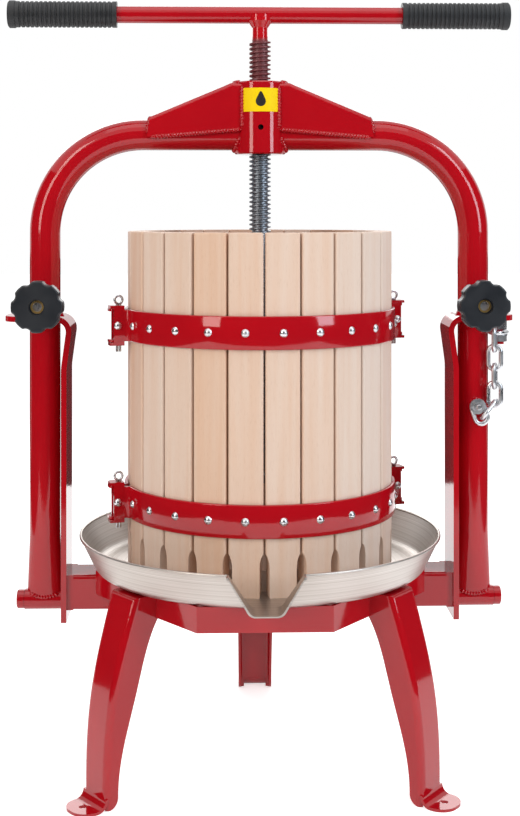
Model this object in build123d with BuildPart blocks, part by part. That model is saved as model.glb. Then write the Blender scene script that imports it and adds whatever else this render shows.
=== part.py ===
from build123d import *
from math import asin, atan2, cos, degrees, hypot, radians, sin, sqrt, tan
import os

os.makedirs("parts", exist_ok=True)

# All sizes are in millimetres. X runs to the right, Y to the rear and Z up from the floor.

# Base ring, cross beam and end plates
frame_z = 184.0
ring_half_depth = 168.5
ring_half_width = 199.5
ring_flat = 136.0
ring_height = 26.0
ring_thickness = 5.0
beam_width = 50.0
beam_height = 38.0
beam_wall = 3.0
beam_corner = 4.0
beam_drop = 17.0
end_plate_thickness = 7.0

# Legs, pressed from sheet with the open side inward; their radii run from the press's axis
leg_sheet = 3.0
leg_fold = 7.0
leg_top_drop = 2.0
leg_top_width = 46.0
leg_foot_width = 41.0
shoulder_radius = 184.0
knee_radius = 211.0
knee_z = 110.0
ankle_radius = 218.0
ankle_bend = 9.0
leg_lap = 2.2745
flange_knee = 29.0
flange_foot = 15.0
flange_heel = 11.0
foot_length = 28.5
foot_hole_setback = 14.5
foot_hole = 7.5
foot_corner = 18.0

# Yoke: bent tube arms, hub and gussets
tube_diameter = 33.7
tube_wall = 3.2
tube_bend = 108.0
flare_height = 62.0
flare_width = 39.0
flare_depth = 23.0
hub_diameter = 57.0
hub_height = 80.0
hub_drop = 21.5
hub_chamfer = 1.5
oil_hole = 6.0
oil_hole_rise = 29.0
gusset_sheet = 3.0
gusset_gap = 0.15
gusset_reach = 121.0
gusset_nose = 19.5
gusset_skirt_outer = 3.0
gusset_skirt_inner = 5.5
gusset_fold = 5.0
label_width = 38.0
label_height = 26.0
label_thickness = 0.4
label_drop = 8.0
label_corner = 2.0

# Tilting pivot of the yoke
pivot_rise = 6.0
pin_diameter = 16.0
pin_head_diameter = 20.5
pin_head = 8.0
pin_fit = 0.06
sleeve_wall = 3.0
sleeve_length = 42.0
sleeve_side_gap = 0.5

# Brackets that stop and clamp the posts
bracket_width = 60.0
bracket_thickness = 6.0
post_gap = 3.75
bracket_tail = 18.5
tab_z = 484.5
tab_overhang = 42.0
tab_corner = 20.0
hook_lean = 7.4
hook_height = 54.0
hook_bend = 14.0
lean_bend = 60.0
slot_gap = 1.15
lug_thickness = 6.0
lug_base = 49.0
lug_round = 17.0
stud_rise = 13.0

# Clamp knobs
stud_diameter = 10.0
stud_clearance = 0.4
stud_tip_diameter = 8.0
stud_tip = 11.0
stud_port = 12.5
stud_recess = 3.0
washer_thickness = 2.0
washer_diameter = 24.0
knob_diameter = 55.0
knob_lobes = 8
knob_scallop = 6.5
knob_scallop_offset = 4.0
knob_head = 20.0
knob_neck = 22.0
knob_neck_diameter = 28.0
knob_edge = 2.0
knob_corner = 2.6
knob_recess = 4.0
knob_recess_diameter = 17.0
bush_diameter = 14.0
bush_length = 22.0

# Spindle, handle and swivel foot
thread_diameter = 24.0
thread_core = 17.6
thread_pitch = 5.0
thread_fit = 0.1
neck_diameter = 17.2
neck_length = 24.0
weld_flare = 5.0
handle_z = 820.0
handle_rise = 75.0
handle_diameter = 18.6
handle_wall = 2.5
handle_length = 557.0
grip_length = 120.0
grip_diameter = 29.0
grip_groove = 1.0
grip_rib_pitch = 5.0
grip_cap = 8.0
grip_cap_step = 0.8
grip_end = 3.0
foot_z = 305.0
press_foot_diameter = 60.0
press_foot_plate = 10.0
press_foot_boss_diameter = 38.0
press_foot_boss = 22.0
tenon_step = 0.8
tenon_fit = 0.08
tenon_gap = 0.3
socket_floor = 8.0
groove_diameter = 11.0
set_screw_diameter = 6.0
set_screw_gap = 0.3

# Juice pan
pan_sheet = 1.5
pan_rim_radius = 198.5
pan_flare = 18.0
pan_side_gap = 12.9
pan_height = 37.0
pan_fillet = 12.0
spout_overhang = 9.5
spout_run = 60.0
spout_top_width = 75.0
spout_bottom_width = 32.0
spout_corner = 9.0

# Basket
stave_count = 24
stave_radius = 145.6
stave_thickness = 20.0
stave_gap = 2.0
stave_edge = 2.5
basket_height = 368.5
basket_turn = 15.0
cove_height = 47.0
cove_shoulder = 18.0
cove_depth = 4.4
hoop_height = 34.0
hoop_thickness = 3.0
hoop_fit = 0.1
hoop_edge = 1.0
upper_hoop_rise = 267.5
lower_hoop_rise = 77.5
screw_head_diameter = 8.6
screw_head = 2.6
screw_diameter = 4.0
screw_length = 15.0
ear_offset = 6.5
ear_bend = 7.0
ear_length = 20.4447
ear_lip = 4.0
ear_rise = 1.2
ear_flange = 3.0
ear_flange_past = 9.0
ear_corner = 4.0
ear_nest_gap = 0.3
cotter_setback = 10.5
cotter_wire = 2.8
cotter_spread = 3.2
cotter_eye = 11.2
cotter_gap = 0.3
cotter_tail = 7.0
rivet_setback = 8.5

# Loose press boards in the basket
board_gap = 6.0
board_thickness = 22.0
board_split = 4.0
batten_length = 150.0
batten_width = 45.0
batten_thickness = 22.0
batten_spacing = 110.0
board_edge = 2.0

# Tilt chain and its two anchors
link_wire = 5.0
link_pitch = 21.0
link_inner = 9.0
link_play = 0.8
hanging_links = 4
anchor_out = 30.0
anchor_forward = 4.0
anchor_bolt_diameter = 8.0
anchor_head_diameter = 17.0
anchor_head = 6.0
anchor_spacer = 11.0
anchor_nut = 6.5
anchor_nut_width = 13.0
anchor_washer_diameter = 16.0
anchor_washer = 1.6
anchor_tail = 3.0
anchor_link_turn = 240.0
chain_twist = 18.0
bridge_shift_x = 1.56
bridge_shift_y = 2.23
bridge_rise = 5.63
bridge_depth = 6.57
bridge_side = 0.84
bridge_forward = 1.58
bridge_roll = 11.94
post_bolt_diameter = 6.0
post_bolt_spacer = 7.2
post_bolt_washer_diameter = 17.0
post_bolt_washer = 1.6
post_bolt_nut = 5.0
post_bolt_nut_width = 10.0
post_bolt_tail = 2.5
post_link_lean = 19.0
seat_gap = 0.2

# Heights and places worked out from the sizes above
ring_top = frame_z + ring_height
ring_side_run = ring_half_width - ring_flat / 2
ring_side_azimuth = degrees(atan2(ring_side_run, ring_half_depth))
ring_side_radius = ring_half_width * cos(radians(ring_side_azimuth))
flange_top_radius = min(ring_side_radius, ring_half_depth) - leg_lap
beam_z = frame_z - beam_drop + beam_height / 2
beam_bottom = frame_z - beam_drop
pivot_z = beam_bottom + pivot_rise
tube_radius = tube_diameter / 2
hub_radius = hub_diameter / 2
hub_top = handle_z - handle_rise
hub_bottom = hub_top - hub_height
crossbar_z = hub_bottom + hub_drop
pan_floor_radius = pan_rim_radius - pan_flare
spout_reach = pan_rim_radius + spout_overhang
bracket_inner_x = pan_rim_radius + pan_side_gap
bracket_x = bracket_inner_x + bracket_thickness / 2
bracket_outer_x = bracket_inner_x + bracket_thickness
post_x = bracket_outer_x + post_gap + tube_radius
beam_half = bracket_inner_x - end_plate_thickness
tab_top = tab_z + bracket_thickness / 2
tab_bottom = tab_z - bracket_thickness / 2
tab_end = post_x + tab_overhang
lug_front = -bracket_width / 2
stud_z = tab_top + stud_rise
knob_back = lug_front - washer_thickness
knob_shoulder = knob_back - knob_neck
knob_front = knob_shoulder - knob_head
pan_floor = ring_top + pan_sheet
pan_rim_z = ring_top + pan_height
basket_bottom = pan_floor
stave_pitch = 360.0 / stave_count
stave_inner = stave_radius - stave_thickness
stave_half = stave_radius * tan(radians(stave_pitch / 2)) - stave_gap / 2
stave_half_inner = stave_inner * tan(radians(stave_pitch / 2)) - stave_gap / 2
stave_corner_radius = hypot(stave_radius - stave_edge, stave_half - stave_edge) + stave_edge
hoop_inner = stave_corner_radius + hoop_fit
hoop_outer = hoop_inner + hoop_thickness
ear_reach = hoop_outer + ear_length
cotter_radius = ear_reach - cotter_setback
hoop_levels = {"upper": basket_bottom + upper_hoop_rise, "lower": basket_bottom + lower_hoop_rise}
sides = {"left": -1, "right": 1}

# Chain layout: the first link lies on the anchor bolt, the next ones hang from it, and the bridge link
# runs to the link on the post, whose bolt sits where the bridge ends
link_radius = (link_inner + link_wire) / 2
link_crown = (link_pitch + link_wire) / 2
hook_step = link_wire + link_play
link_step = 2 * link_crown - hook_step
anchor_x = post_x + anchor_out
anchor_y = -anchor_forward
anchor_link_z = tab_bottom - anchor_spacer - seat_gap - link_wire / 2
anchor_lie = (cos(radians(anchor_link_turn)), sin(radians(anchor_link_turn)), 0)
anchor_reach = link_pitch / 2 - anchor_bolt_diameter / 2 - seat_gap
hang_x = anchor_x + (anchor_reach + link_crown) * anchor_lie[0]
hang_y = anchor_y + (anchor_reach + link_crown) * anchor_lie[1]
hang_z = anchor_link_z + hook_step - link_crown
last_crown_z = hang_z - (hanging_links - 1) * link_step - link_crown
high_hook = (hang_x + bridge_shift_x, hang_y + bridge_shift_y, last_crown_z + bridge_rise)
post_link_y = -tube_radius - post_bolt_spacer - seat_gap - link_wire / 2
post_along = (sin(radians(post_link_lean)), 0, -cos(radians(post_link_lean)))
post_reach = link_pitch / 2 - post_bolt_diameter / 2 - seat_gap
post_hook = post_reach + link_crown - bridge_depth
bridge_x = post_x + post_hook * post_along[0] - bridge_side * post_along[2] - high_hook[0]
bridge_y = post_link_y - bridge_forward - high_hook[1]
bridge_drop = sqrt((2 * link_crown) ** 2 - bridge_x**2 - bridge_y**2)
post_bolt_z = high_hook[2] - bridge_drop - post_hook * post_along[2] - bridge_side * post_along[0]


def save(builder, name):
    builder.part.label = name
    export_step(builder.part, f"parts/{name}.step")


# Base ring: a hexagon of flat bar, cut in two by the beam
ring_corners = [
    (ring_half_width, 0),
    (ring_flat / 2, ring_half_depth),
    (-ring_flat / 2, ring_half_depth),
    (-ring_half_width, 0),
    (-ring_flat / 2, -ring_half_depth),
    (ring_flat / 2, -ring_half_depth),
]


def base_ring(name, direction):
    with BuildPart() as ring:
        with BuildSketch(Plane.XY.offset(frame_z)):
            Polygon(*ring_corners, align=None)
            offset(amount=-ring_thickness, kind=Kind.INTERSECTION, mode=Mode.SUBTRACT)
        extrude(amount=ring_height)
        reach = 2 * ring_half_depth
        with Locations((0, direction * (beam_width / 2 + reach / 2), ring_top)):
            Box(2 * ring_half_width, reach, 4 * ring_height, mode=Mode.INTERSECT)
    save(ring, name)


base_ring("base_ring_front", -1)
base_ring("base_ring_rear", 1)

# Cross beam: rectangular tube from bracket to bracket
with BuildPart() as cross_beam:
    with BuildSketch(Plane.YZ.offset(-beam_half)):
        with Locations((0, beam_z)):
            RectangleRounded(beam_width, beam_height, beam_corner)
            RectangleRounded(
                beam_width - 2 * beam_wall,
                beam_height - 2 * beam_wall,
                max(beam_corner - beam_wall, 0.5),
                mode=Mode.SUBTRACT,
            )
    extrude(amount=2 * beam_half)
save(cross_beam, "cross_beam")

# End plates: close the beam against the brackets
with BuildPart() as end_plates:
    for direction in sides.values():
        with Locations((direction * (beam_half + end_plate_thickness / 2), 0, beam_z)):
            Box(end_plate_thickness, beam_width, beam_height)
save(end_plates, "beam_end_plates")

# Legs: a channel that sweeps out and down, closed on top, with its web folded out into the foot
leg_top = ring_top - leg_top_drop
ankle_z = ankle_bend + leg_sheet
foot_start = ankle_radius + ankle_bend
foot_tip = ankle_radius + foot_length
foot_hole_radius = foot_tip - foot_hole_setback
heel_radius = ankle_radius - flange_foot


def leg_block(inset):
    """The leg's outer block, or with an inset the hollow behind its web and flanges."""
    top, foot = leg_top_width / 2 - inset, leg_foot_width / 2 - inset
    back = flange_top_radius - inset
    with BuildPart() as block:
        with BuildSketch(Plane.XZ):
            with BuildLine():
                shoulder = (shoulder_radius - inset, leg_top - inset)
                knee = (knee_radius - inset, knee_z)
                ankle = (ankle_radius - inset, ankle_z)
                face = Spline(shoulder, knee, ankle, tangents=[(1, -3), (0, -1)])
                shin = Line(face @ 1, (ankle_radius - inset, -inset))
                base = Line(shin @ 1, (back, -inset))
                rear = Line(base @ 1, (back, leg_top - inset))
                Line(rear @ 1, face @ 0)
            make_face()
        extrude(amount=leg_top_width, both=True)
        with BuildSketch(Plane.YZ):
            Polygon((-foot, -inset), (foot, -inset), (top, leg_top), (-top, leg_top), align=None)
        extrude(amount=2 * foot_tip, mode=Mode.INTERSECT)
        web = block.faces().filter_by(lambda face: face.normal_at().X > 0.5).edges()
        top_edge = web.filter_by(Axis.Y).sort_by(Axis.Z)[-1]
        fillet(web.filter_by(Axis.Y, reverse=True) + [top_edge], radius=leg_fold - inset)
    return block.part


with BuildPart() as leg_blank:
    add(leg_block(0))
    add(leg_block(leg_sheet), mode=Mode.SUBTRACT)
    with BuildSketch(Plane.XZ):
        with BuildLine():
            heel = RadiusArc((heel_radius + flange_heel, 0), (heel_radius, flange_heel), flange_heel)
            edge_knee = (knee_radius - flange_knee, knee_z)
            edge = Spline(heel @ 1, edge_knee, (flange_top_radius, frame_z), tangents=[(0, 1), (-2, 3)])
            top = Line(edge @ 1, (flange_top_radius - leg_sheet, frame_z))
            rear = Line(top @ 1, (flange_top_radius - leg_sheet, 0))
            Line(rear @ 1, heel @ 0)
        make_face()
    extrude(amount=leg_top_width, both=True, mode=Mode.SUBTRACT)
    with BuildSketch(Plane.XZ):
        with BuildLine():
            under = RadiusArc((ankle_radius - leg_sheet, ankle_z), (foot_start, 0), -ankle_z)
            floor = Line(under @ 1, (ankle_radius - leg_sheet, 0))
            Line(floor @ 1, under @ 0)
        make_face()
    extrude(amount=leg_foot_width / 2 - leg_sheet, both=True, mode=Mode.SUBTRACT)
    with BuildSketch(Plane.XZ):
        with BuildLine():
            bend_in = RadiusArc((ankle_radius, ankle_z), (foot_start, leg_sheet), -ankle_bend)
            tip_top = Line(bend_in @ 1, (foot_tip, leg_sheet))
            tip = Line(tip_top @ 1, (foot_tip, 0))
            sole = Line(tip @ 1, (foot_start, 0))
            bend_out = RadiusArc(sole @ 1, (ankle_radius - leg_sheet, ankle_z), ankle_z)
            Line(bend_out @ 1, bend_in @ 0)
        make_face()
    extrude(amount=leg_foot_width / 2, both=True)
    tip_edges = leg_blank.edges().filter_by(Axis.Z).group_by(Axis.X)[-1]
    fillet(tip_edges, radius=min(foot_corner, foot_tip - foot_start - 1.0))
    with Locations((foot_hole_radius, 0, leg_sheet / 2)):
        Cylinder(foot_hole / 2, 2 * leg_sheet, mode=Mode.SUBTRACT)

leg_azimuths = {"front_right": -ring_side_azimuth, "front_left": 180.0 + ring_side_azimuth, "rear": 90.0}
for name, azimuth in leg_azimuths.items():
    with BuildPart() as leg:
        add(leg_blank.part.rotate(Axis.Z, azimuth))
        with BuildSketch(Plane.XY.offset(frame_z)):
            Polygon(*ring_corners, align=None)
        extrude(amount=ring_height, mode=Mode.SUBTRACT)
    save(leg, f"leg_{name}")

# Brackets: flat bar rising beside each post and hooked outward into a forked tab
slot_radius = tube_radius + slot_gap
hook_points = [
    (bracket_x, pivot_z - bracket_tail),
    (bracket_x, tab_z - hook_height),
    (bracket_x - hook_lean, tab_z),
    (tab_end, tab_z),
]
with BuildPart() as bracket:
    with BuildSketch(Plane.XZ):
        with BuildLine():
            FilletPolyline(*hook_points, radius=(lean_bend, hook_bend))
        trace(line_width=bracket_thickness)
    extrude(amount=bracket_width / 2, both=True)
    with BuildSketch(Plane.XY.offset(tab_z - 2 * hook_bend)):
        with Locations((post_x, 0)):
            Circle(slot_radius)
        with Locations((post_x, bracket_width / 2)):
            Rectangle(2 * slot_radius, bracket_width)
    extrude(amount=3 * hook_bend, mode=Mode.SUBTRACT)
    fillet(bracket.edges().filter_by(Axis.Z).group_by(Axis.X)[-1], radius=tab_corner)
    with Locations((bracket_x, 0, pivot_z)):
        Cylinder(pin_diameter / 2, 3 * bracket_thickness, rotation=(0, 90, 0), mode=Mode.SUBTRACT)

for side, direction in sides.items():
    with BuildPart() as bracket_side:
        if direction < 0:
            mirror(bracket.part, about=Plane.YZ)
        else:
            add(bracket.part)
            with Locations((anchor_x, -anchor_forward, tab_z)):
                Cylinder(anchor_bolt_diameter / 2, 3 * bracket_thickness, mode=Mode.SUBTRACT)
    save(bracket_side, f"bracket_{side}")

# Lock lugs: tapered plates on the front of each tab, bored for the clamp stud
for side, direction in sides.items():
    with BuildPart() as lug:
        with BuildSketch(Plane.XZ.offset(-lug_front - lug_thickness)):
            with BuildLine():
                flank = asin((lug_base / 2 - lug_round) / hypot(lug_base / 2, stud_rise))
                right = (direction * post_x + lug_round * cos(flank), stud_z + lug_round * sin(flank))
                left = (direction * post_x - lug_round * cos(flank), right[1])
                crown = ThreePointArc(left, (direction * post_x, stud_z + lug_round), right)
                fall = Line(crown @ 1, (direction * post_x + lug_base / 2, tab_top))
                base = Line(fall @ 1, (direction * post_x - lug_base / 2, tab_top))
                Line(base @ 1, crown @ 0)
            make_face()
            with Locations((direction * post_x, stud_z)):
                Circle(stud_diameter / 2 + stud_clearance, mode=Mode.SUBTRACT)
        extrude(amount=lug_thickness)
    save(lug, f"lock_lug_{side}")

# Pivot pins: turned pins that carry the yoke's sleeves
sleeve_start = bracket_outer_x + sleeve_side_gap
sleeve_end = sleeve_start + sleeve_length
pin_head_start = sleeve_end + sleeve_side_gap
with BuildPart() as pivot_pins:
    for direction in sides.values():
        with BuildSketch(Plane.YZ.offset(direction * bracket_inner_x)):
            with Locations((0, pivot_z)):
                Circle(pin_diameter / 2)
        extrude(amount=direction * (pin_head_start - bracket_inner_x))
        with BuildSketch(Plane.YZ.offset(direction * pin_head_start)):
            with Locations((0, pivot_z)):
                Circle(pin_head_diameter / 2)
        extrude(amount=direction * pin_head)
    rims = pivot_pins.edges().filter_by(GeomType.CIRCLE).sort_by(Axis.X)
    chamfer([rims[0], rims[-1]], length=1.0)
save(pivot_pins, "pivot_pins")

# Yoke arms: one bent tube each side, from the hub over and down to a flattened, flared end
sleeve_radius = pin_diameter / 2 + pin_fit + sleeve_wall
flare_top = pivot_z + sleeve_radius + flare_height
flare_bottom = pivot_z + sleeve_radius / 2
with BuildPart() as arm:
    with BuildLine(Plane.XZ) as arm_path:
        FilletPolyline((0, crossbar_z), (post_x, crossbar_z), (post_x, flare_top), radius=tube_bend)
    with BuildSketch(Plane.YZ):
        with Locations((0, crossbar_z)):
            Circle(tube_radius)
            Circle(tube_radius - tube_wall, mode=Mode.SUBTRACT)
    sweep(path=arm_path.wires()[0])
    for inset, mode in ((0, Mode.ADD), (tube_wall, Mode.SUBTRACT)):
        with BuildSketch(Plane.XY.offset(flare_top)):
            with Locations((post_x, 0)):
                Circle(tube_radius - inset)
        with BuildSketch(Plane.XY.offset(flare_bottom)):
            with Locations((post_x, 0)):
                Ellipse(flare_width / 2 - inset, flare_depth / 2 - inset)
        loft(mode=mode)
    with Locations((0, 0, crossbar_z)):
        Cylinder(hub_radius, 2 * hub_height, mode=Mode.SUBTRACT)
    with Locations((post_x, 0, pivot_z)):
        Cylinder(sleeve_radius, 2 * flare_width, rotation=(0, 90, 0), mode=Mode.SUBTRACT)
    with Locations((post_x, -tube_radius, stud_z)):
        Cylinder(stud_port / 2, tube_diameter / 2, rotation=(90, 0, 0), mode=Mode.SUBTRACT)

for side, direction in sides.items():
    with BuildPart() as arm_side:
        if direction < 0:
            mirror(arm.part, about=Plane.YZ)
        else:
            add(arm.part)
            with Locations((post_x, -tube_radius, post_bolt_z)):
                Cylinder(post_bolt_diameter / 2, tube_radius, rotation=(90, 0, 0), mode=Mode.SUBTRACT)
    save(arm_side, f"yoke_arm_{side}")

# Pivot sleeves: short tubes across the ends of the posts
with BuildPart() as sleeves:
    for direction in sides.values():
        with BuildSketch(Plane.YZ.offset(direction * sleeve_start)):
            with Locations((0, pivot_z)):
                Circle(sleeve_radius)
                Circle(pin_diameter / 2 + pin_fit, mode=Mode.SUBTRACT)
        extrude(amount=direction * sleeve_length)
save(sleeves, "pivot_sleeves")

# Hub: the threaded block for the spindle, with an oil hole in front
with BuildPart() as hub:
    with BuildSketch(Plane.XY.offset(hub_bottom)):
        Circle(hub_radius)
        Circle(thread_diameter / 2 + thread_fit, mode=Mode.SUBTRACT)
    extrude(amount=hub_height)
    rims = hub.edges().filter_by(GeomType.CIRCLE).sort_by(SortBy.RADIUS)[-2:]
    chamfer(rims, length=hub_chamfer)
    with Locations((0, -hub_radius / 2, hub_bottom + oil_hole_rise)):
        Cylinder(oil_hole / 2, hub_radius, rotation=(90, 0, 0), mode=Mode.SUBTRACT)
save(hub, "hub")

# Oil label: a bare sticker on the hub's front
label_angle = 2 * degrees(asin(label_width / 2 / hub_radius))
label_z = hub_top - label_drop - label_height / 2
with BuildPart() as label:
    with BuildSketch(Plane.XZ):
        with Locations((hub_radius + label_thickness / 2, label_z)):
            Rectangle(label_thickness, label_height)
    revolve(axis=Axis.Z, revolution_arc=label_angle)
    corners = label.edges().filter_by(GeomType.LINE).filter_by(Axis.Z, reverse=True)
    fillet(corners.filter_by(lambda edge: edge.length < 2 * label_thickness), radius=label_corner)
label_part = label.part.rotate(Axis.Z, -90 - label_angle / 2)
label_part.label = "oil_label"
export_step(label_part, "parts/oil_label.step")

# Gussets: sheet folded into a sloping channel over each arm, against the hub
gusset_half = tube_radius + gusset_gap + gusset_sheet
gusset_root = sqrt(hub_radius**2 - gusset_half**2)
gusset_peak = hub_top - hub_chamfer
gusset_low = crossbar_z + gusset_nose


def gusset_outline(inset):
    """Side outline of the gusset, lowered by the sheet for the hollow inside it."""
    return [
        (0, gusset_peak - inset),
        (hub_radius + 3.0, gusset_peak - inset),
        (gusset_reach, gusset_low - inset),
        (gusset_reach + 4.0, crossbar_z - gusset_skirt_outer),
        (gusset_root, crossbar_z + gusset_skirt_inner),
        (0, crossbar_z + gusset_skirt_inner),
    ]


with BuildPart() as gusset:
    with BuildSketch(Plane.XZ):
        Polygon(*gusset_outline(0), align=None)
    extrude(amount=gusset_half, both=True)
    fillet(gusset.faces().sort_by(Axis.Z)[-1].edges().filter_by(Axis.X), radius=gusset_fold)
    level_faces = gusset.faces().filter_by(lambda face: abs(face.normal_at().Y) < 0.01)
    slope = level_faces.filter_by(lambda face: face.normal_at().Z > 0.5).sort_by(SortBy.AREA)[-1]
    long_edges = slope.edges().sort_by(SortBy.LENGTH)[-2:]
    fillet(long_edges, radius=gusset_fold)
    with BuildSketch(Plane.XZ):
        Polygon(*gusset_outline(gusset_sheet), align=None)
    extrude(amount=gusset_half - gusset_sheet, both=True, mode=Mode.SUBTRACT)
    with Locations((0, 0, crossbar_z)):
        Cylinder(hub_radius, 2 * hub_height, mode=Mode.SUBTRACT)
    with Locations((post_x / 2, 0, crossbar_z)):
        Cylinder(tube_radius, post_x, rotation=(0, 90, 0), mode=Mode.SUBTRACT)

for side, direction in sides.items():
    with BuildPart() as gusset_side:
        if direction < 0:
            mirror(gusset.part, about=Plane.YZ)
        else:
            add(gusset.part)
    save(gusset_side, f"gusset_{side}")

# Spindle: neck, thread drawn as rings of its pitch, and the tenon that turns in the foot
handle_radius = handle_diameter / 2
thread_top = handle_z - neck_length
tenon_diameter = thread_core - 2 * tenon_step
thread_end = foot_z + press_foot_plate + press_foot_boss + tenon_gap
tenon_end = foot_z + socket_floor + tenon_gap
set_screw_z = foot_z + press_foot_plate + press_foot_boss / 2
groove_half = set_screw_diameter / 2 + set_screw_gap
crest = thread_diameter / 2
core = thread_core / 2
turns = int((thread_top - thread_end) / thread_pitch)
profile = [(0, handle_z), (neck_diameter / 2 + weld_flare, handle_z)]
profile += [(neck_diameter / 2 + weld_flare, handle_z - handle_radius * 0.75)]
profile += [(neck_diameter / 2, handle_z - handle_radius - weld_flare), (neck_diameter / 2, thread_top)]
for turn in range(turns):
    z = thread_top - turn * thread_pitch
    profile += [(core, z - 0.18 * thread_pitch), (crest, z - 0.36 * thread_pitch)]
    profile += [(crest, z - 0.64 * thread_pitch), (core, z - 0.82 * thread_pitch)]
tenon = tenon_diameter / 2
groove = groove_diameter / 2
profile += [(core, thread_end), (tenon, thread_end), (tenon, set_screw_z + groove_half)]
profile += [(groove, set_screw_z + groove_half), (groove, set_screw_z - groove_half)]
profile += [(tenon, set_screw_z - groove_half), (tenon, tenon_end), (0, tenon_end)]
with BuildPart() as spindle:
    with BuildSketch(Plane.XZ):
        with BuildLine():
            Polyline(*profile, close=True)
        make_face()
    revolve(axis=Axis.Z)
    with Locations((0, 0, handle_z)):
        Cylinder(handle_radius, 6 * handle_diameter, rotation=(0, 90, 0), mode=Mode.SUBTRACT)
    with Locations((0, 0, handle_z + handle_diameter)):
        Box(8 * crest, 8 * crest, 2 * handle_diameter, mode=Mode.SUBTRACT)
save(spindle, "spindle")

# Handle bar: a plain tube with a rubber grip pushed on each end
bar_half = handle_length / 2 - grip_end
with BuildPart() as handle_bar:
    with BuildSketch(Plane.YZ.offset(-bar_half)):
        with Locations((0, handle_z)):
            Circle(handle_radius)
            Circle(handle_radius - handle_wall, mode=Mode.SUBTRACT)
    extrude(amount=2 * bar_half)
save(handle_bar, "handle_bar")

grip_outer = grip_diameter / 2
grip_start = handle_length / 2 - grip_length
ribbed_end = handle_length / 2 - grip_cap
rib_count = int((ribbed_end - grip_start - grip_rib_pitch) / grip_rib_pitch)
grip_profile = [(grip_start, handle_radius), (grip_start, grip_outer)]
for rib in range(rib_count):
    x = grip_start + (rib + 1) * grip_rib_pitch
    grip_profile += [(x, grip_outer), (x + 0.15 * grip_rib_pitch, grip_outer - grip_groove)]
    grip_profile += [(x + 0.35 * grip_rib_pitch, grip_outer - grip_groove)]
    grip_profile += [(x + 0.5 * grip_rib_pitch, grip_outer)]
grip_profile += [(ribbed_end, grip_outer), (ribbed_end, grip_outer + grip_cap_step)]
grip_profile += [(handle_length / 2 - 1.5, grip_outer + grip_cap_step), (handle_length / 2, grip_outer - 1.0)]
grip_profile += [(handle_length / 2, 0), (bar_half, 0), (bar_half, handle_radius)]
with BuildPart() as grip:
    with BuildSketch(Plane.XZ):
        with BuildLine():
            Polyline(*[(x, handle_z + r) for x, r in grip_profile], close=True)
        make_face()
    revolve(axis=Axis((0, 0, handle_z), (1, 0, 0)))

for side, direction in sides.items():
    with BuildPart() as grip_side:
        if direction < 0:
            mirror(grip.part, about=Plane.YZ)
        else:
            add(grip.part)
    save(grip_side, f"grip_{side}")

# Press foot: a plate with a socket, in which the spindle turns
socket_radius = tenon_diameter / 2 + tenon_fit
with BuildPart() as press_foot:
    with BuildSketch(Plane.XY.offset(foot_z)):
        Circle(press_foot_diameter / 2)
    extrude(amount=press_foot_plate)
    fillet(press_foot.edges().sort_by(Axis.Z)[-1], radius=2.0)
    with BuildSketch(Plane.XY.offset(foot_z + press_foot_plate)):
        Circle(press_foot_boss_diameter / 2)
    extrude(amount=press_foot_boss)
    with BuildSketch(Plane.XY.offset(foot_z + socket_floor)):
        Circle(socket_radius)
    extrude(amount=2 * press_foot_boss, mode=Mode.SUBTRACT)
    with Locations((0, 0, set_screw_z)):
        through = 2 * press_foot_boss_diameter
        Cylinder(set_screw_diameter / 2, through, rotation=(0, 90, 0), mode=Mode.SUBTRACT)
save(press_foot, "press_foot")

set_screw_tip = groove_diameter / 2 + set_screw_gap
with BuildPart() as set_screws:
    for direction in sides.values():
        with BuildSketch(Plane.YZ.offset(direction * set_screw_tip)):
            with Locations((0, set_screw_z)):
                Circle(set_screw_diameter / 2)
        extrude(amount=direction * (press_foot_boss_diameter / 2 - set_screw_tip))
save(set_screws, "foot_set_screws")

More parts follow.
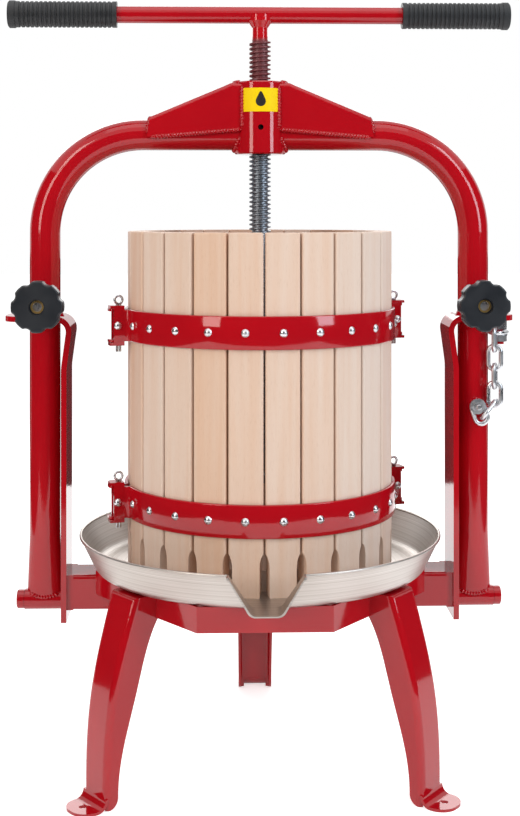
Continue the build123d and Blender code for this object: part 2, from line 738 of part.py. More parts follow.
# Clamp knobs: lobed grip, brass bush, threaded stud and washer, one set each side
stud_front = knob_front + knob_recess + stud_recess
stud_back = -tube_radius + stud_tip - washer_thickness
scallop_ring = knob_diameter / 2 + knob_scallop_offset
bush_front = knob_front + knob_recess
for side, direction in sides.items():
    axis_point = (direction * post_x, stud_z)
    with BuildPart() as knob:
        with BuildSketch(Plane.XZ.offset(-knob_shoulder)):
            with Locations(axis_point):
                Circle(knob_diameter / 2)
                with PolarLocations(scallop_ring, knob_lobes, start_angle=180 / knob_lobes):
                    Circle(knob_scallop, mode=Mode.SUBTRACT)
        extrude(amount=knob_head)
        fillet(knob.edges().filter_by(Axis.Y), radius=knob_corner)
        fillet(knob.faces().sort_by(Axis.Y)[0].edges(), radius=knob_edge)
        fillet(knob.faces().sort_by(Axis.Y)[-1].edges(), radius=knob_edge)
        with BuildSketch(Plane.XZ.offset(-knob_back)):
            with Locations(axis_point):
                Circle(knob_neck_diameter / 2)
        extrude(amount=knob_neck)
        with BuildSketch(Plane.XZ.offset(-knob_front)):
            with Locations(axis_point):
                Circle(knob_recess_diameter / 2)
        extrude(amount=-knob_recess, mode=Mode.SUBTRACT)
        with BuildSketch(Plane.XZ.offset(-bush_front)):
            with Locations(axis_point):
                Circle(bush_diameter / 2)
        extrude(amount=-bush_length, mode=Mode.SUBTRACT)
        with BuildSketch(Plane.XZ.offset(-knob_back)):
            with Locations(axis_point):
                Circle(stud_diameter / 2)
        extrude(amount=knob_neck, mode=Mode.SUBTRACT)
    save(knob, f"knob_{side}")
    with BuildPart() as bush:
        with BuildSketch(Plane.XZ.offset(-bush_front)):
            with Locations(axis_point):
                Circle(bush_diameter / 2)
                Circle(stud_diameter / 2, mode=Mode.SUBTRACT)
        extrude(amount=-bush_length)
    save(bush, f"knob_bush_{side}")
    with BuildPart() as stud:
        with BuildSketch(Plane.XZ.offset(-stud_front)):
            with Locations(axis_point):
                Circle(stud_diameter / 2)
        extrude(amount=-(lug_front + lug_thickness - stud_front))
        with BuildSketch(Plane.XZ.offset(-lug_front - lug_thickness)):
            with Locations(axis_point):
                Circle(stud_tip_diameter / 2)
        extrude(amount=-(stud_back - lug_front - lug_thickness))
        chamfer(stud.edges().sort_by(Axis.Y)[-1], length=1.0)
    save(stud, f"clamp_stud_{side}")
    with BuildPart() as washer:
        with BuildSketch(Plane.XZ.offset(-lug_front)):
            with Locations(axis_point):
                Circle(washer_diameter / 2)
                Circle(stud_diameter / 2 + stud_clearance, mode=Mode.SUBTRACT)
        extrude(amount=washer_thickness)
    save(washer, f"clamp_washer_{side}")

# Juice pan: pressed dish with a spout at the front
spout_back = spout_reach - spout_run


def dish(inset):
    """The pan as a filled body, or with an inset the space inside its sheet."""
    low, high = ring_top + inset, pan_rim_z + inset
    floor = pan_floor_radius + inset * (pan_flare - hypot(pan_flare, pan_height)) / pan_height
    with BuildPart() as body:
        with BuildSketch(Plane.XZ):
            with BuildLine():
                rim = (floor + pan_flare, high)
                wall = FilletPolyline((0, low), (floor, low), rim, radius=pan_fillet - inset)
                top = Line(wall @ 1, (0, high))
                Line(top @ 1, wall @ 0)
            make_face()
        revolve(axis=Axis.Z)
    return body.part


def spout(inset):
    """The trough as a filled body, or with an inset the space inside its sheet."""
    top, bottom = spout_top_width / 2 - inset, spout_bottom_width / 2 - inset
    low = ring_top + inset
    with BuildPart() as trough:
        with BuildSketch(Plane.XZ.offset(spout_back)):
            Polygon((-bottom, low), (bottom, low), (top, pan_rim_z), (-top, pan_rim_z), align=None)
        extrude(amount=spout_run + inset)
        fillet(trough.edges().filter_by(Axis.Y).group_by(Axis.Z)[0], radius=spout_corner)
    return trough.part


with BuildPart() as juice_pan:
    add(dish(0))
    add(spout(0))
    add(dish(pan_sheet), mode=Mode.SUBTRACT)
    add(spout(pan_sheet), mode=Mode.SUBTRACT)
save(juice_pan, "juice_pan")

# Staves: bevelled boards, coved at the foot so that juice runs out, and drilled for the hoop screws
cove_start = basket_bottom + cove_height
with BuildPart() as stave:
    with BuildSketch(Plane.XY.offset(basket_bottom)):
        Polygon(
            (stave_inner, -stave_half_inner),
            (stave_radius, -stave_half),
            (stave_radius, stave_half),
            (stave_inner, stave_half_inner),
            align=None,
        )
    extrude(amount=basket_height)
    fillet(stave.edges().filter_by(Axis.Z).group_by(Axis.X)[-1], radius=stave_edge)
    fillet(stave.faces().sort_by(Axis.Z)[-1].edges().group_by(Axis.X)[-1], radius=stave_edge * 0.6)
    for direction in sides.values():
        with BuildSketch(Plane.YZ.offset(stave_inner - stave_thickness)):
            with BuildLine():
                outer_y = direction * (stave_half + cove_depth)
                waist_y = direction * (stave_half - cove_depth)
                shoulder_y = direction * (stave_half + stave_edge)
                foot = Line((outer_y, basket_bottom - 1), (waist_y, basket_bottom - 1))
                waist = Line(foot @ 1, (waist_y, cove_start - cove_shoulder))
                shoulder = (shoulder_y, cove_start)
                round_over = Spline(waist @ 1, shoulder, tangents=[(0, 1), (direction * 0.9, 0.6)])
                top = Line(round_over @ 1, (outer_y, cove_start))
                Line(top @ 1, foot @ 0)
            make_face()
        extrude(amount=3 * stave_thickness, mode=Mode.SUBTRACT)
    for level in hoop_levels.values():
        with Locations((stave_radius, 0, level)):
            Cylinder(screw_diameter / 2, 2 * screw_length, rotation=(0, 90, 0), mode=Mode.SUBTRACT)

half_count = stave_count // 2
halves = {"front": 180.0 + basket_turn, "rear": basket_turn}
for half, start in halves.items():
    with BuildPart() as staves:
        for index in range(half_count):
            add(stave.part.rotate(Axis.Z, start + (index + 0.5) * stave_pitch))
    save(staves, f"staves_{half}")


# Hoops: half rings whose ends turn outward into ears, with a flange above and below for the pin
web_end = ear_reach - ear_lip


def hoop_side(shift):
    """Points where one face of the strip leaves the ear, ends its bend and meets the ring."""
    bend = ear_bend + shift
    ring = hoop_inner + hoop_thickness / 2 - shift
    middle = hoop_inner + hoop_thickness / 2
    centre_y = -ear_offset - ear_bend
    centre_x = sqrt((middle + ear_bend) ** 2 - centre_y**2)
    lean = atan2(-centre_y, centre_x)
    half_way = (radians(90) - lean) / 2 + lean
    ear = (centre_x, centre_y + bend)
    mid = (centre_x - bend * cos(half_way), centre_y + bend * sin(half_way))
    join = (centre_x - bend * cos(lean), centre_y + bend * sin(lean))
    return ear, mid, join, ring


def hoop_outline():
    inside = hoop_side(hoop_thickness / 2)
    outside = hoop_side(-hoop_thickness / 2)

    def flip(point):
        return (-point[0], point[1])

    with BuildLine() as line:
        start = Line((-web_end, inside[0][1]), flip(inside[0]))
        bend = ThreePointArc(start @ 1, flip(inside[1]), flip(inside[2]))
        ring = ThreePointArc(bend @ 1, (0, -inside[3]), inside[2])
        bend = ThreePointArc(ring @ 1, inside[1], inside[0])
        run = Line(bend @ 1, (web_end, inside[0][1]))
        end = Line(run @ 1, (web_end, outside[0][1]))
        run = Line(end @ 1, outside[0])
        bend = ThreePointArc(run @ 1, outside[1], outside[2])
        ring = ThreePointArc(bend @ 1, (0, -outside[3]), flip(outside[2]))
        bend = ThreePointArc(ring @ 1, flip(outside[1]), flip(outside[0]))
        run = Line(bend @ 1, (-web_end, outside[0][1]))
        Line(run @ 1, start @ 0)
    return line.line


strip_outline = hoop_outline()
ear_root = hoop_side(0)[0][0]
web_front = -ear_offset - hoop_thickness / 2
rear_flange_past = ear_offset - hoop_thickness / 2 - ear_nest_gap
web_reach = web_end - ear_root
flange_reach = ear_reach - ear_root
cotter_hole = cotter_spread / 2 + cotter_wire / 2 + cotter_gap
ear_half = hoop_height / 2 + ear_rise + ear_flange


def half_hoop(level, ear_top, flange_past):
    """A half hoop in the frame of its split, with the front half's body below the X axis."""
    with BuildPart() as hoop:
        with BuildSketch(Plane.XY.offset(level - hoop_height / 2)):
            add(strip_outline)
            make_face()
        extrude(amount=hoop_height)
        ring_edges = hoop.edges().filter_by(GeomType.CIRCLE).filter_by(
            lambda item: abs(item.radius - hoop_inner - hoop_thickness) < 0.01
        )
        fillet(ring_edges, radius=hoop_edge)
        for direction in sides.values():
            with Locations((direction * (web_end - web_reach / 2), -ear_offset, level)):
                Box(web_reach, hoop_thickness, 2 * ear_top)
            for up in (-1, 1):
                flange_z = level + up * (ear_top - ear_flange / 2)
                flange_mid = (web_front + flange_past) / 2
                with Locations((direction * (ear_reach - flange_reach / 2), flange_mid, flange_z)):
                    Box(flange_reach, flange_past - web_front, ear_flange)
        corners = hoop.edges().filter_by(Axis.Z).filter_by(
            lambda item: item.length < 2 * ear_flange and item.center().Y > 0
        )
        fillet(corners, radius=ear_corner)
        with Locations((-cotter_radius, 0, level), (cotter_radius, 0, level)):
            Cylinder(cotter_hole, 4 * hoop_height, mode=Mode.SUBTRACT)
        with PolarLocations(0, half_count, start_angle=180 + stave_pitch / 2, angular_range=180):
            with Locations((hoop_outer, 0, level)):
                Cylinder(screw_diameter / 2, 6 * hoop_thickness, rotation=(0, 90, 0), mode=Mode.SUBTRACT)
        with Locations((rivet_x, -ear_offset, level), (-rivet_x, -ear_offset, level)):
            Cylinder(screw_diameter / 2, 2 * hoop_thickness, rotation=(90, 0, 0), mode=Mode.SUBTRACT)
    return hoop.part


rivet_x = ear_reach - rivet_setback
front_ear_top = ear_half + ear_nest_gap
rear_ear_top = front_ear_top - ear_flange - ear_nest_gap
for level_name, level in hoop_levels.items():
    front_hoop = half_hoop(level, front_ear_top, ear_flange_past).rotate(Axis.Z, basket_turn)
    rear_hoop = half_hoop(level, rear_ear_top, rear_flange_past).rotate(Axis.Z, basket_turn + 180)
    for half, hoop_part in (("front", front_hoop), ("rear", rear_hoop)):
        hoop_part.label = f"hoop_{level_name}_{half}"
        export_step(hoop_part, f"parts/hoop_{level_name}_{half}.step")

# Hoop screws: domed heads, one in each stave at each hoop, and a rivet in each ear
dome_radius = (screw_head_diameter**2 / 4 + screw_head**2) / (2 * screw_head)
with BuildPart() as screw:
    with BuildSketch(Plane.XZ):
        with BuildLine():
            face = Line((0, 0), (-screw_length, 0))
            tip = Line(face @ 1, (-screw_length, screw_diameter / 2))
            shank = Line(tip @ 1, (0, screw_diameter / 2))
            seat = Line(shank @ 1, (0, screw_head_diameter / 2))
            dome = RadiusArc(seat @ 1, (screw_head, 0), dome_radius)
            Line(dome @ 1, face @ 0)
        make_face()
    revolve(axis=Axis.X)
with BuildPart() as rivet:
    with BuildSketch(Plane.XZ):
        with BuildLine():
            face = Line((0, 0), (-hoop_thickness, 0))
            tip = Line(face @ 1, (-hoop_thickness, screw_diameter / 2))
            shank = Line(tip @ 1, (0, screw_diameter / 2))
            seat = Line(shank @ 1, (0, screw_head_diameter / 2))
            dome = RadiusArc(seat @ 1, (screw_head, 0), dome_radius)
            Line(dome @ 1, face @ 0)
        make_face()
    revolve(axis=Axis.X)
for half, start in halves.items():
    with BuildPart() as screws:
        for level in hoop_levels.values():
            for index in range(half_count):
                placed = Pos(hoop_outer, 0, level) * screw.part
                add(placed.rotate(Axis.Z, start + (index + 0.5) * stave_pitch))
            for direction in sides.values():
                placed = Pos(direction * rivet_x, web_front, level) * Rot(0, 0, -90) * rivet.part
                add(placed.rotate(Axis.Z, start - 180.0))
    save(screws, f"hoop_screws_{half}")

# Cotter pins: split wire with an eye, dropped through the nested ear flanges
for level_name, level in hoop_levels.items():
    for side, azimuth in (("left", 180.0), ("right", 0.0)):
        wire = cotter_wire / 2
        eye = cotter_eye / 2 - wire
        eye_z = level + front_ear_top + cotter_gap + wire + eye
        tail_z = level - front_ear_top - cotter_tail
        leg_top_z = eye_z - sqrt(eye**2 - cotter_spread**2 / 4)
        with BuildPart() as cotter:
            with Locations((cotter_radius, 0, eye_z)):
                Torus(eye, wire, rotation=(90, 0, 0))
            for direction in sides.values():
                with Locations((cotter_radius + direction * cotter_spread / 2, 0, (leg_top_z + tail_z) / 2)):
                    Cylinder(wire, leg_top_z - tail_z)
        cotter_part = cotter.part.rotate(Axis.Z, azimuth + basket_turn)
        cotter_part.label = f"cotter_{level_name}_{side}"
        export_step(cotter_part, f"parts/cotter_{level_name}_{side}.step")

# Press boards: two half-moons with battens across, lying loose on the pan
board_radius = stave_inner - board_gap
for half, direction in (("front", -1), ("rear", 1)):
    with BuildPart() as board:
        with BuildSketch(Plane.XY.offset(pan_floor)):
            Circle(board_radius)
            with Locations((0, -direction * (board_radius - board_split / 2))):
                Rectangle(4 * board_radius, 2 * board_radius, mode=Mode.SUBTRACT)
        extrude(amount=board_thickness)
        fillet(board.faces().sort_by(Axis.Z)[-1].edges(), radius=board_edge)
    save(board, f"press_board_{half}")
batten_z = pan_floor + board_thickness
with BuildPart() as battens:
    for direction in sides.values():
        with BuildSketch(Plane.XY.offset(batten_z)):
            with Locations((direction * batten_spacing / 2, 0)):
                Rectangle(batten_width, batten_length)
        extrude(amount=batten_thickness)
    fillet(battens.faces().filter_by(Axis.Z).group_by(Axis.Z)[-1].edges(), radius=board_edge)
save(battens, "board_battens")

# Chain anchor on the right tab: domed bolt, spacer nut, washer and lower nut
anchor_washer_z = anchor_link_z - link_wire / 2 - seat_gap
anchor_nut_z = anchor_washer_z - anchor_washer
anchor_end_z = anchor_nut_z - anchor_nut - anchor_tail
anchor_dome = (anchor_head_diameter**2 / 4 + anchor_head**2) / (2 * anchor_head)
with BuildPart() as anchor_bolt:
    with BuildSketch(Plane.XZ):
        with BuildLine():
            axis_line = Line((0, tab_top + anchor_head), (0, anchor_end_z))
            end = Line(axis_line @ 1, (anchor_bolt_diameter / 2, anchor_end_z))
            shank = Line(end @ 1, (anchor_bolt_diameter / 2, tab_top))
            seat = Line(shank @ 1, (anchor_head_diameter / 2, tab_top))
            RadiusArc(seat @ 1, axis_line @ 0, -anchor_dome)
        make_face()
    revolve(axis=Axis.Z)
anchor_part = Pos(anchor_x, anchor_y, 0) * anchor_bolt.part
anchor_part.label = "chain_anchor_bolt"
export_step(anchor_part, "parts/chain_anchor_bolt.step")
with BuildPart() as anchor_nuts:
    for top, height in ((tab_bottom, anchor_spacer), (anchor_nut_z, anchor_nut)):
        with BuildSketch(Plane.XY.offset(top - height)):
            with Locations((anchor_x, anchor_y)):
                RegularPolygon(anchor_nut_width / 2, 6, major_radius=False)
                Circle(anchor_bolt_diameter / 2, mode=Mode.SUBTRACT)
        extrude(amount=height)
    with BuildSketch(Plane.XY.offset(anchor_nut_z)):
        with Locations((anchor_x, anchor_y)):
            Circle(anchor_washer_diameter / 2)
            Circle(anchor_bolt_diameter / 2, mode=Mode.SUBTRACT)
    extrude(amount=anchor_washer)
save(anchor_nuts, "chain_anchor_nuts")

# Chain anchor on the right post: bolt, spacer, washer and nut
post_front = -tube_radius
post_washer_y = post_link_y - link_wire / 2 - seat_gap
post_nut_y = post_washer_y - post_bolt_washer
post_end_y = post_nut_y - post_bolt_nut - post_bolt_tail
with BuildPart() as post_bolt:
    with BuildSketch(Plane.XZ.offset(-post_front - tube_wall)):
        with Locations((post_x, post_bolt_z)):
            Circle(post_bolt_diameter / 2)
    extrude(amount=-post_end_y + post_front + tube_wall)
    chamfer(post_bolt.edges().sort_by(Axis.Y)[0], length=0.8)
save(post_bolt, "chain_post_bolt")
with BuildPart() as post_nuts:
    with BuildSketch(Plane.XZ.offset(-post_front)):
        with Locations((post_x, post_bolt_z)):
            RegularPolygon(post_bolt_nut_width / 2, 6, major_radius=False)
            Circle(post_bolt_diameter / 2, mode=Mode.SUBTRACT)
    extrude(amount=post_bolt_spacer)
    with BuildSketch(Plane.XZ.offset(-post_washer_y)):
        with Locations((post_x, post_bolt_z)):
            Circle(post_bolt_washer_diameter / 2)
            Circle(post_bolt_diameter / 2, mode=Mode.SUBTRACT)
    extrude(amount=post_bolt_washer)
    with BuildSketch(Plane.XZ.offset(-post_nut_y)):
        with Locations((post_x, post_bolt_z)):
            RegularPolygon(post_bolt_nut_width / 2, 6, major_radius=False)
            Circle(post_bolt_diameter / 2, mode=Mode.SUBTRACT)
    extrude(amount=post_bolt_nut)
    with Locations((post_x, 0, post_bolt_z)):
        Cylinder(tube_radius, 3 * tube_radius, mode=Mode.SUBTRACT)
save(post_nuts, "chain_post_nuts")


# Chain links: welded wire loops, each turned a quarter from the next
def chain_link(name, centre, along, across):
    """A link about its centre: along runs down its length, across spans its width."""
    along, across = Vector(*along).normalized(), Vector(*across)
    across = (across - along * across.dot(along)).normalized()
    plane = Plane(origin=centre, x_dir=along, z_dir=along.cross(across))
    straight = link_crown - link_radius
    with BuildPart() as link:
        with BuildLine(plane):
            Line((-straight, link_radius), (straight, link_radius))
            ThreePointArc((straight, link_radius), (link_crown, 0), (straight, -link_radius))
            Line((straight, -link_radius), (-straight, -link_radius))
            ThreePointArc((-straight, -link_radius), (-link_crown, 0), (-straight, link_radius))
        with BuildSketch(Plane(origin=plane.from_local_coords((0, link_radius, 0)), z_dir=along)):
            Circle(link_wire / 2)
        sweep()
    save(link, name)


first_x = anchor_x + anchor_reach * anchor_lie[0]
first_y = anchor_y + anchor_reach * anchor_lie[1]
first_centre = (first_x, first_y, anchor_link_z)
chain_link("chain_link_1", first_centre, anchor_lie, (-anchor_lie[1], anchor_lie[0], 0))

twist = radians(chain_twist)
edge_on = (sin(twist), cos(twist), 0)
face_on = (cos(twist), -sin(twist), 0)
for index in range(hanging_links):
    chain_link(
        f"chain_link_{index + 2}",
        (hang_x, hang_y, hang_z - index * link_step),
        (0, 0, -1),
        edge_on if index % 2 == 0 else face_on,
    )

bridge_along = Vector(bridge_x, bridge_y, -bridge_drop).normalized()
rear = Vector(0, 1, 0)
flat = (rear - bridge_along * rear.dot(bridge_along)).normalized()
bridge_across = flat * cos(radians(bridge_roll)) + bridge_along.cross(flat) * sin(radians(bridge_roll))
bridge_centre = (
    high_hook[0] + bridge_x / 2,
    high_hook[1] + bridge_y / 2,
    high_hook[2] - bridge_drop / 2,
)
chain_link(f"chain_link_{hanging_links + 2}", bridge_centre, tuple(bridge_along), tuple(bridge_across))

post_centre = (post_x + post_reach * post_along[0], post_link_y, post_bolt_z + post_reach * post_along[2])
chain_link(f"chain_link_{hanging_links + 3}", post_centre, post_along, (-post_along[2], 0, post_along[0]))
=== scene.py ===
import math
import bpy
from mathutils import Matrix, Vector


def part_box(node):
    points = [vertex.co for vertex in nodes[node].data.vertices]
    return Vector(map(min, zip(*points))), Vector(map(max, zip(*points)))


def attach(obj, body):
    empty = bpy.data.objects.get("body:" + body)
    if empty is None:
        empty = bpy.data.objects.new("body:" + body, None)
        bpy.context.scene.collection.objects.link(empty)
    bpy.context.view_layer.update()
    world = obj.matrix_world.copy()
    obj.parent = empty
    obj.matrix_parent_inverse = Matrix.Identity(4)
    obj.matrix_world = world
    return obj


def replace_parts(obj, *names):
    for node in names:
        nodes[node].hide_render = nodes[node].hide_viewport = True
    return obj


bl_info = {
    "name": "Fruit Press Dressing",
    "version": (1, 0, 0),
    "blender": (4, 5, 0),
    "location": "View3D > Sidebar > Press",
    "description": "Finishes, welds and studio for a basket fruit press",
    "category": "Object",
}

import bmesh
import bpy
from bpy.props import FloatProperty, FloatVectorProperty, IntProperty, PointerProperty
from mathutils import Vector

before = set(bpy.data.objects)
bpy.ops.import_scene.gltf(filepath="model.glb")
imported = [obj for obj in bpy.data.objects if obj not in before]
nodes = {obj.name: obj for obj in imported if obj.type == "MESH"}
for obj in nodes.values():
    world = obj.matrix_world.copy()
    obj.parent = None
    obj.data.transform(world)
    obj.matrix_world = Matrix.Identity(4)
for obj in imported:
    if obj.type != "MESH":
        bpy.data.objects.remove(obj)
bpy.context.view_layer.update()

PAINTED = (
    "cross_beam beam_end_plates base_ring_front base_ring_rear leg_front_left leg_front_right leg_rear "
    "bracket_left bracket_right lock_lug_left lock_lug_right pivot_pins yoke_arm_left yoke_arm_right hub "
    "gusset_left gusset_right pivot_sleeves handle_bar chain_anchor_bolt"
).split()
HOOPS = ("hoop_upper_front", "hoop_upper_rear", "hoop_lower_front", "hoop_lower_rear")
BOARDS = ("press_board_front", "press_board_rear", "board_battens")
STAVES = ("staves_front", "staves_rear")
PLATED = [
    name
    for name in nodes
    if name.startswith(("chain_link", "cotter", "hoop_screws", "clamp_stud", "clamp_washer"))
] + ["chain_anchor_nuts", "chain_post_bolt", "chain_post_nuts"]
PLATES = (
    "cross_beam beam_end_plates base_ring_front base_ring_rear leg_front_left leg_front_right leg_rear "
    "bracket_left bracket_right lock_lug_left lock_lug_right hub gusset_left gusset_right"
).split()
SIDES = (("left", -1), ("right", 1))
STAVE_COUNT = 24
# Along the pitch and up the thread's flank: where the ridge's four corners lie.
THREAD_PROFILE = ((-0.32, 0.0), (-0.14, 1.0), (0.14, 1.0), (0.32, 0.0))


def box_size(name):
    """Lowest corner, highest corner and middle of a CAD node."""
    low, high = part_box(name)
    low, high = Vector(low), Vector(high)
    return low, high, (low + high) / 2


class PressSizes(bpy.types.PropertyGroup):
    """Sizes of the pieces that are drawn here rather than in the solids."""

    weld_radius: FloatProperty(
        name="Weld bead radius", description="Radius of a bead of weld", default=0.0025, unit="LENGTH"
    )
    weld_ripple: FloatProperty(
        name="Weld ripple", description="Length of one ripple along a bead", default=0.0034, unit="LENGTH"
    )
    weld_swell: FloatProperty(
        name="Weld swell", description="Share by which a ripple swells the bead", default=0.24
    )
    flare_half: FloatProperty(
        name="Post foot, half", description="About half a post foot's width", default=0.0195, unit="LENGTH"
    )
    edge_round: FloatProperty(
        name="Edge round", description="Rounding of cut edges under the coat", default=0.0007, unit="LENGTH"
    )
    rim_radius: FloatProperty(
        name="Rim roll radius", description="Radius of the pan's rolled rim", default=0.0016, unit="LENGTH"
    )
    hoop_crown: FloatProperty(
        name="Hoop crown", description="How far a hoop's face bulges", default=0.0016, unit="LENGTH"
    )
    drop_height: FloatProperty(
        name="Drop height", description="Height of the printed oil drop", default=0.017, unit="LENGTH"
    )


class PressColours(bpy.types.PropertyGroup):
    """Finishes that a user would change."""

    red: FloatVectorProperty(
        name="Red coat", description="Powder coat", default=(0.49, 0.005, 0.010), subtype="COLOR", size=3
    )
    red_deep: FloatVectorProperty(
        name="Red coat, thin", description="Coat where it lies thin", default=(0.37, 0.002, 0.008),
        subtype="COLOR", size=3,
    )
    red_dust: FloatVectorProperty(
        name="Red overspray", description="Coat dusted on the screw", default=(0.17, 0.012, 0.014),
        subtype="COLOR", size=3,
    )
    beech_light: FloatVectorProperty(
        name="Beech, light", description="Palest stave", default=(0.77, 0.62, 0.52), subtype="COLOR", size=3
    )
    beech_warm: FloatVectorProperty(
        name="Beech, warm", description="Warmest stave", default=(0.70, 0.44, 0.29), subtype="COLOR", size=3
    )
    steel: FloatVectorProperty(
        name="Pan steel", description="Spun sheet", default=(0.67, 0.63, 0.595), subtype="COLOR", size=3
    )
    steel_dull: FloatVectorProperty(
        name="Pan steel, dull", description="Streaks left by spinning", default=(0.36, 0.31, 0.27),
        subtype="COLOR", size=3,
    )
    screw: FloatVectorProperty(
        name="Screw steel", description="Oiled screw", default=(0.30, 0.33, 0.37), subtype="COLOR", size=3
    )
    zinc: FloatVectorProperty(
        name="Zinc plate", description="Bright fasteners", default=(0.66, 0.66, 0.68), subtype="COLOR", size=3
    )
    yellow: FloatVectorProperty(
        name="Label film", description="Blank label", default=(0.93, 0.64, 0.0), subtype="COLOR", size=3
    )
    ink: FloatVectorProperty(
        name="Label ink", description="Printed drop", default=(0.015, 0.014, 0.012), subtype="COLOR", size=3
    )
    black: FloatVectorProperty(
        name="Knobs", description="Moulded plastic", default=(0.011, 0.013, 0.017), subtype="COLOR", size=3
    )
    rubber: FloatVectorProperty(
        name="Grips", description="Ribbed rubber", default=(0.016, 0.017, 0.019), subtype="COLOR", size=3
    )
    brass: FloatVectorProperty(
        name="Brass", description="Bushes in the knobs", default=(0.55, 0.36, 0.13), subtype="COLOR", size=3
    )


class PressStudio(bpy.types.PropertyGroup):
    """Camera and light."""

    camera_distance: FloatProperty(
        name="Camera distance", description="From the screw's axis", default=1.535, unit="LENGTH"
    )
    camera_height: FloatProperty(
        name="Camera height", description="Above the floor", default=0.600, unit="LENGTH"
    )
    camera_side: FloatProperty(
        name="Camera offset", description="Left of the screw's axis", default=0.048, unit="LENGTH"
    )
    focal_pixels: FloatProperty(
        name="Focal length", description="In pixels of the photograph's frame", default=1380.0
    )
    horizon_pixel: FloatProperty(
        name="Horizon", description="Row of the horizon in the photograph's frame", default=213.0
    )
    frame_height: IntProperty(
        name="Frame height", description="Rows in the photograph's frame", default=816
    )
    key_power: FloatProperty(name="Key lamps", description="Each left pane", default=8.5, unit="POWER")
    fill_power: FloatProperty(name="Fill lamps", description="Each right pane", default=11.0, unit="POWER")
    top_power: FloatProperty(name="Top lamp", description="Overhead soft box", default=6.0, unit="POWER")
    rear_power: FloatProperty(name="Rear lamp", description="Soft box behind", default=15.0, unit="POWER")
    aim_height: FloatProperty(
        name="Aim height", description="Where the lamps point", default=0.42, unit="LENGTH"
    )
    card_distance: FloatProperty(
        name="Dark card distance", description="Cards in front and beside", default=2.4, unit="LENGTH"
    )
    mat_distance: FloatProperty(
        name="Dark mat distance", description="Where the floor turns dark", default=1.3, unit="LENGTH"
    )
    card_height: FloatProperty(
        name="Dark card height", description="Height of the cards", default=2.0, unit="LENGTH"
    )
    back_distance: FloatProperty(
        name="Back card distance", description="Low card behind", default=1.5, unit="LENGTH"
    )
    back_height: FloatProperty(
        name="Back card height", description="Height of the card behind", default=0.5, unit="LENGTH"
    )


def sizes():
    return bpy.context.scene.press_sizes


def colours():
    return bpy.context.scene.press_colours


def add_node(tree, kind, settings=None, inputs=None):
    """A shader node with its settings made and its inputs set or linked."""
    made = tree.nodes.new(kind)
    for key, value in (settings or {}).items():
        setattr(made, key, value)
    for key, value in (inputs or {}).items():
        if isinstance(value, bpy.types.NodeSocket):
            tree.links.new(value, made.inputs[key])
        else:
            made.inputs[key].default_value = value
    return made


def math_node(tree, operation, first, second=0.0):
    return add_node(tree, "ShaderNodeMath", {"operation": operation}, {0: first, 1: second}).outputs[0]


def map_range(tree, value, from_min=0.0, from_max=1.0, to_min=0.0, to_max=1.0):
    limits = {"Value": value, "From Min": from_min, "From Max": from_max, "To Min": to_min, "To Max": to_max}
    return add_node(tree, "ShaderNodeMapRange", None, limits).outputs["Result"]


def mix_colours(tree, factor, first, second, blend="MIX"):
    """The colour between two others; 6 and 7 are the Mix node's colour sockets."""
    settings = {"data_type": "RGBA", "blend_type": blend}
    return add_node(tree, "ShaderNodeMix", settings, {"Factor": factor, 6: first, 7: second}).outputs[2]


def noise(tree, vector, scale, detail, roughness=0.5):
    inputs = {"Vector": vector, "Scale": scale, "Detail": detail, "Roughness": roughness}
    return add_node(tree, "ShaderNodeTexNoise", None, inputs).outputs["Fac"]


def line_noise(tree, along, scale, detail):
    """Noise along one measure only."""
    inputs = {"W": along, "Scale": scale, "Detail": detail}
    return add_node(tree, "ShaderNodeTexNoise", {"noise_dimensions": "1D"}, inputs).outputs["Fac"]


def scaled(tree, vector, factors):
    settings = {"operation": "MULTIPLY"}
    return add_node(tree, "ShaderNodeVectorMath", settings, {0: vector, 1: factors}).outputs[0]


def object_axes(tree):
    """The object's own coordinates, whole and by axis."""
    coords = add_node(tree, "ShaderNodeTexCoord").outputs["Object"]
    return coords, add_node(tree, "ShaderNodeSeparateXYZ", None, {0: coords}).outputs


def new_group(name, inputs, outputs):
    """A shader node group with its sockets, and its two end nodes."""
    group = bpy.data.node_groups.new(name, "ShaderNodeTree")
    for socket, kind, value in inputs:
        made = group.interface.new_socket(socket, in_out="INPUT", socket_type=kind)
        if value is not None:
            made.default_value = value
    for socket, kind in outputs:
        group.interface.new_socket(socket, in_out="OUTPUT", socket_type=kind)
    return group, group.nodes.new("NodeGroupInput"), group.nodes.new("NodeGroupOutput")


def mottle_group():
    """Soft patches between two roughness values, with a fine height for bump."""
    if "Surface Mottle" in bpy.data.node_groups:
        return bpy.data.node_groups["Surface Mottle"]
    group, start, end = new_group(
        "Surface Mottle",
        (
            ("Scale", "NodeSocketFloat", 30.0),
            ("Fine Scale", "NodeSocketFloat", 600.0),
            ("Low", "NodeSocketFloat", 0.2),
            ("High", "NodeSocketFloat", 0.4),
        ),
        (("Mask", "NodeSocketFloat"), ("Roughness", "NodeSocketFloat"), ("Height", "NodeSocketFloat")),
    )
    coords = add_node(group, "ShaderNodeTexCoord").outputs["Object"]
    patch = noise(group, coords, start.outputs["Scale"], 4.0)
    fine = noise(group, coords, start.outputs["Fine Scale"], 2.0)
    span = map_range(group, patch, 0.3, 0.7, start.outputs["Low"], start.outputs["High"])
    group.links.new(patch, end.inputs["Mask"])
    group.links.new(span, end.inputs["Roughness"])
    group.links.new(fine, end.inputs["Height"])
    return group


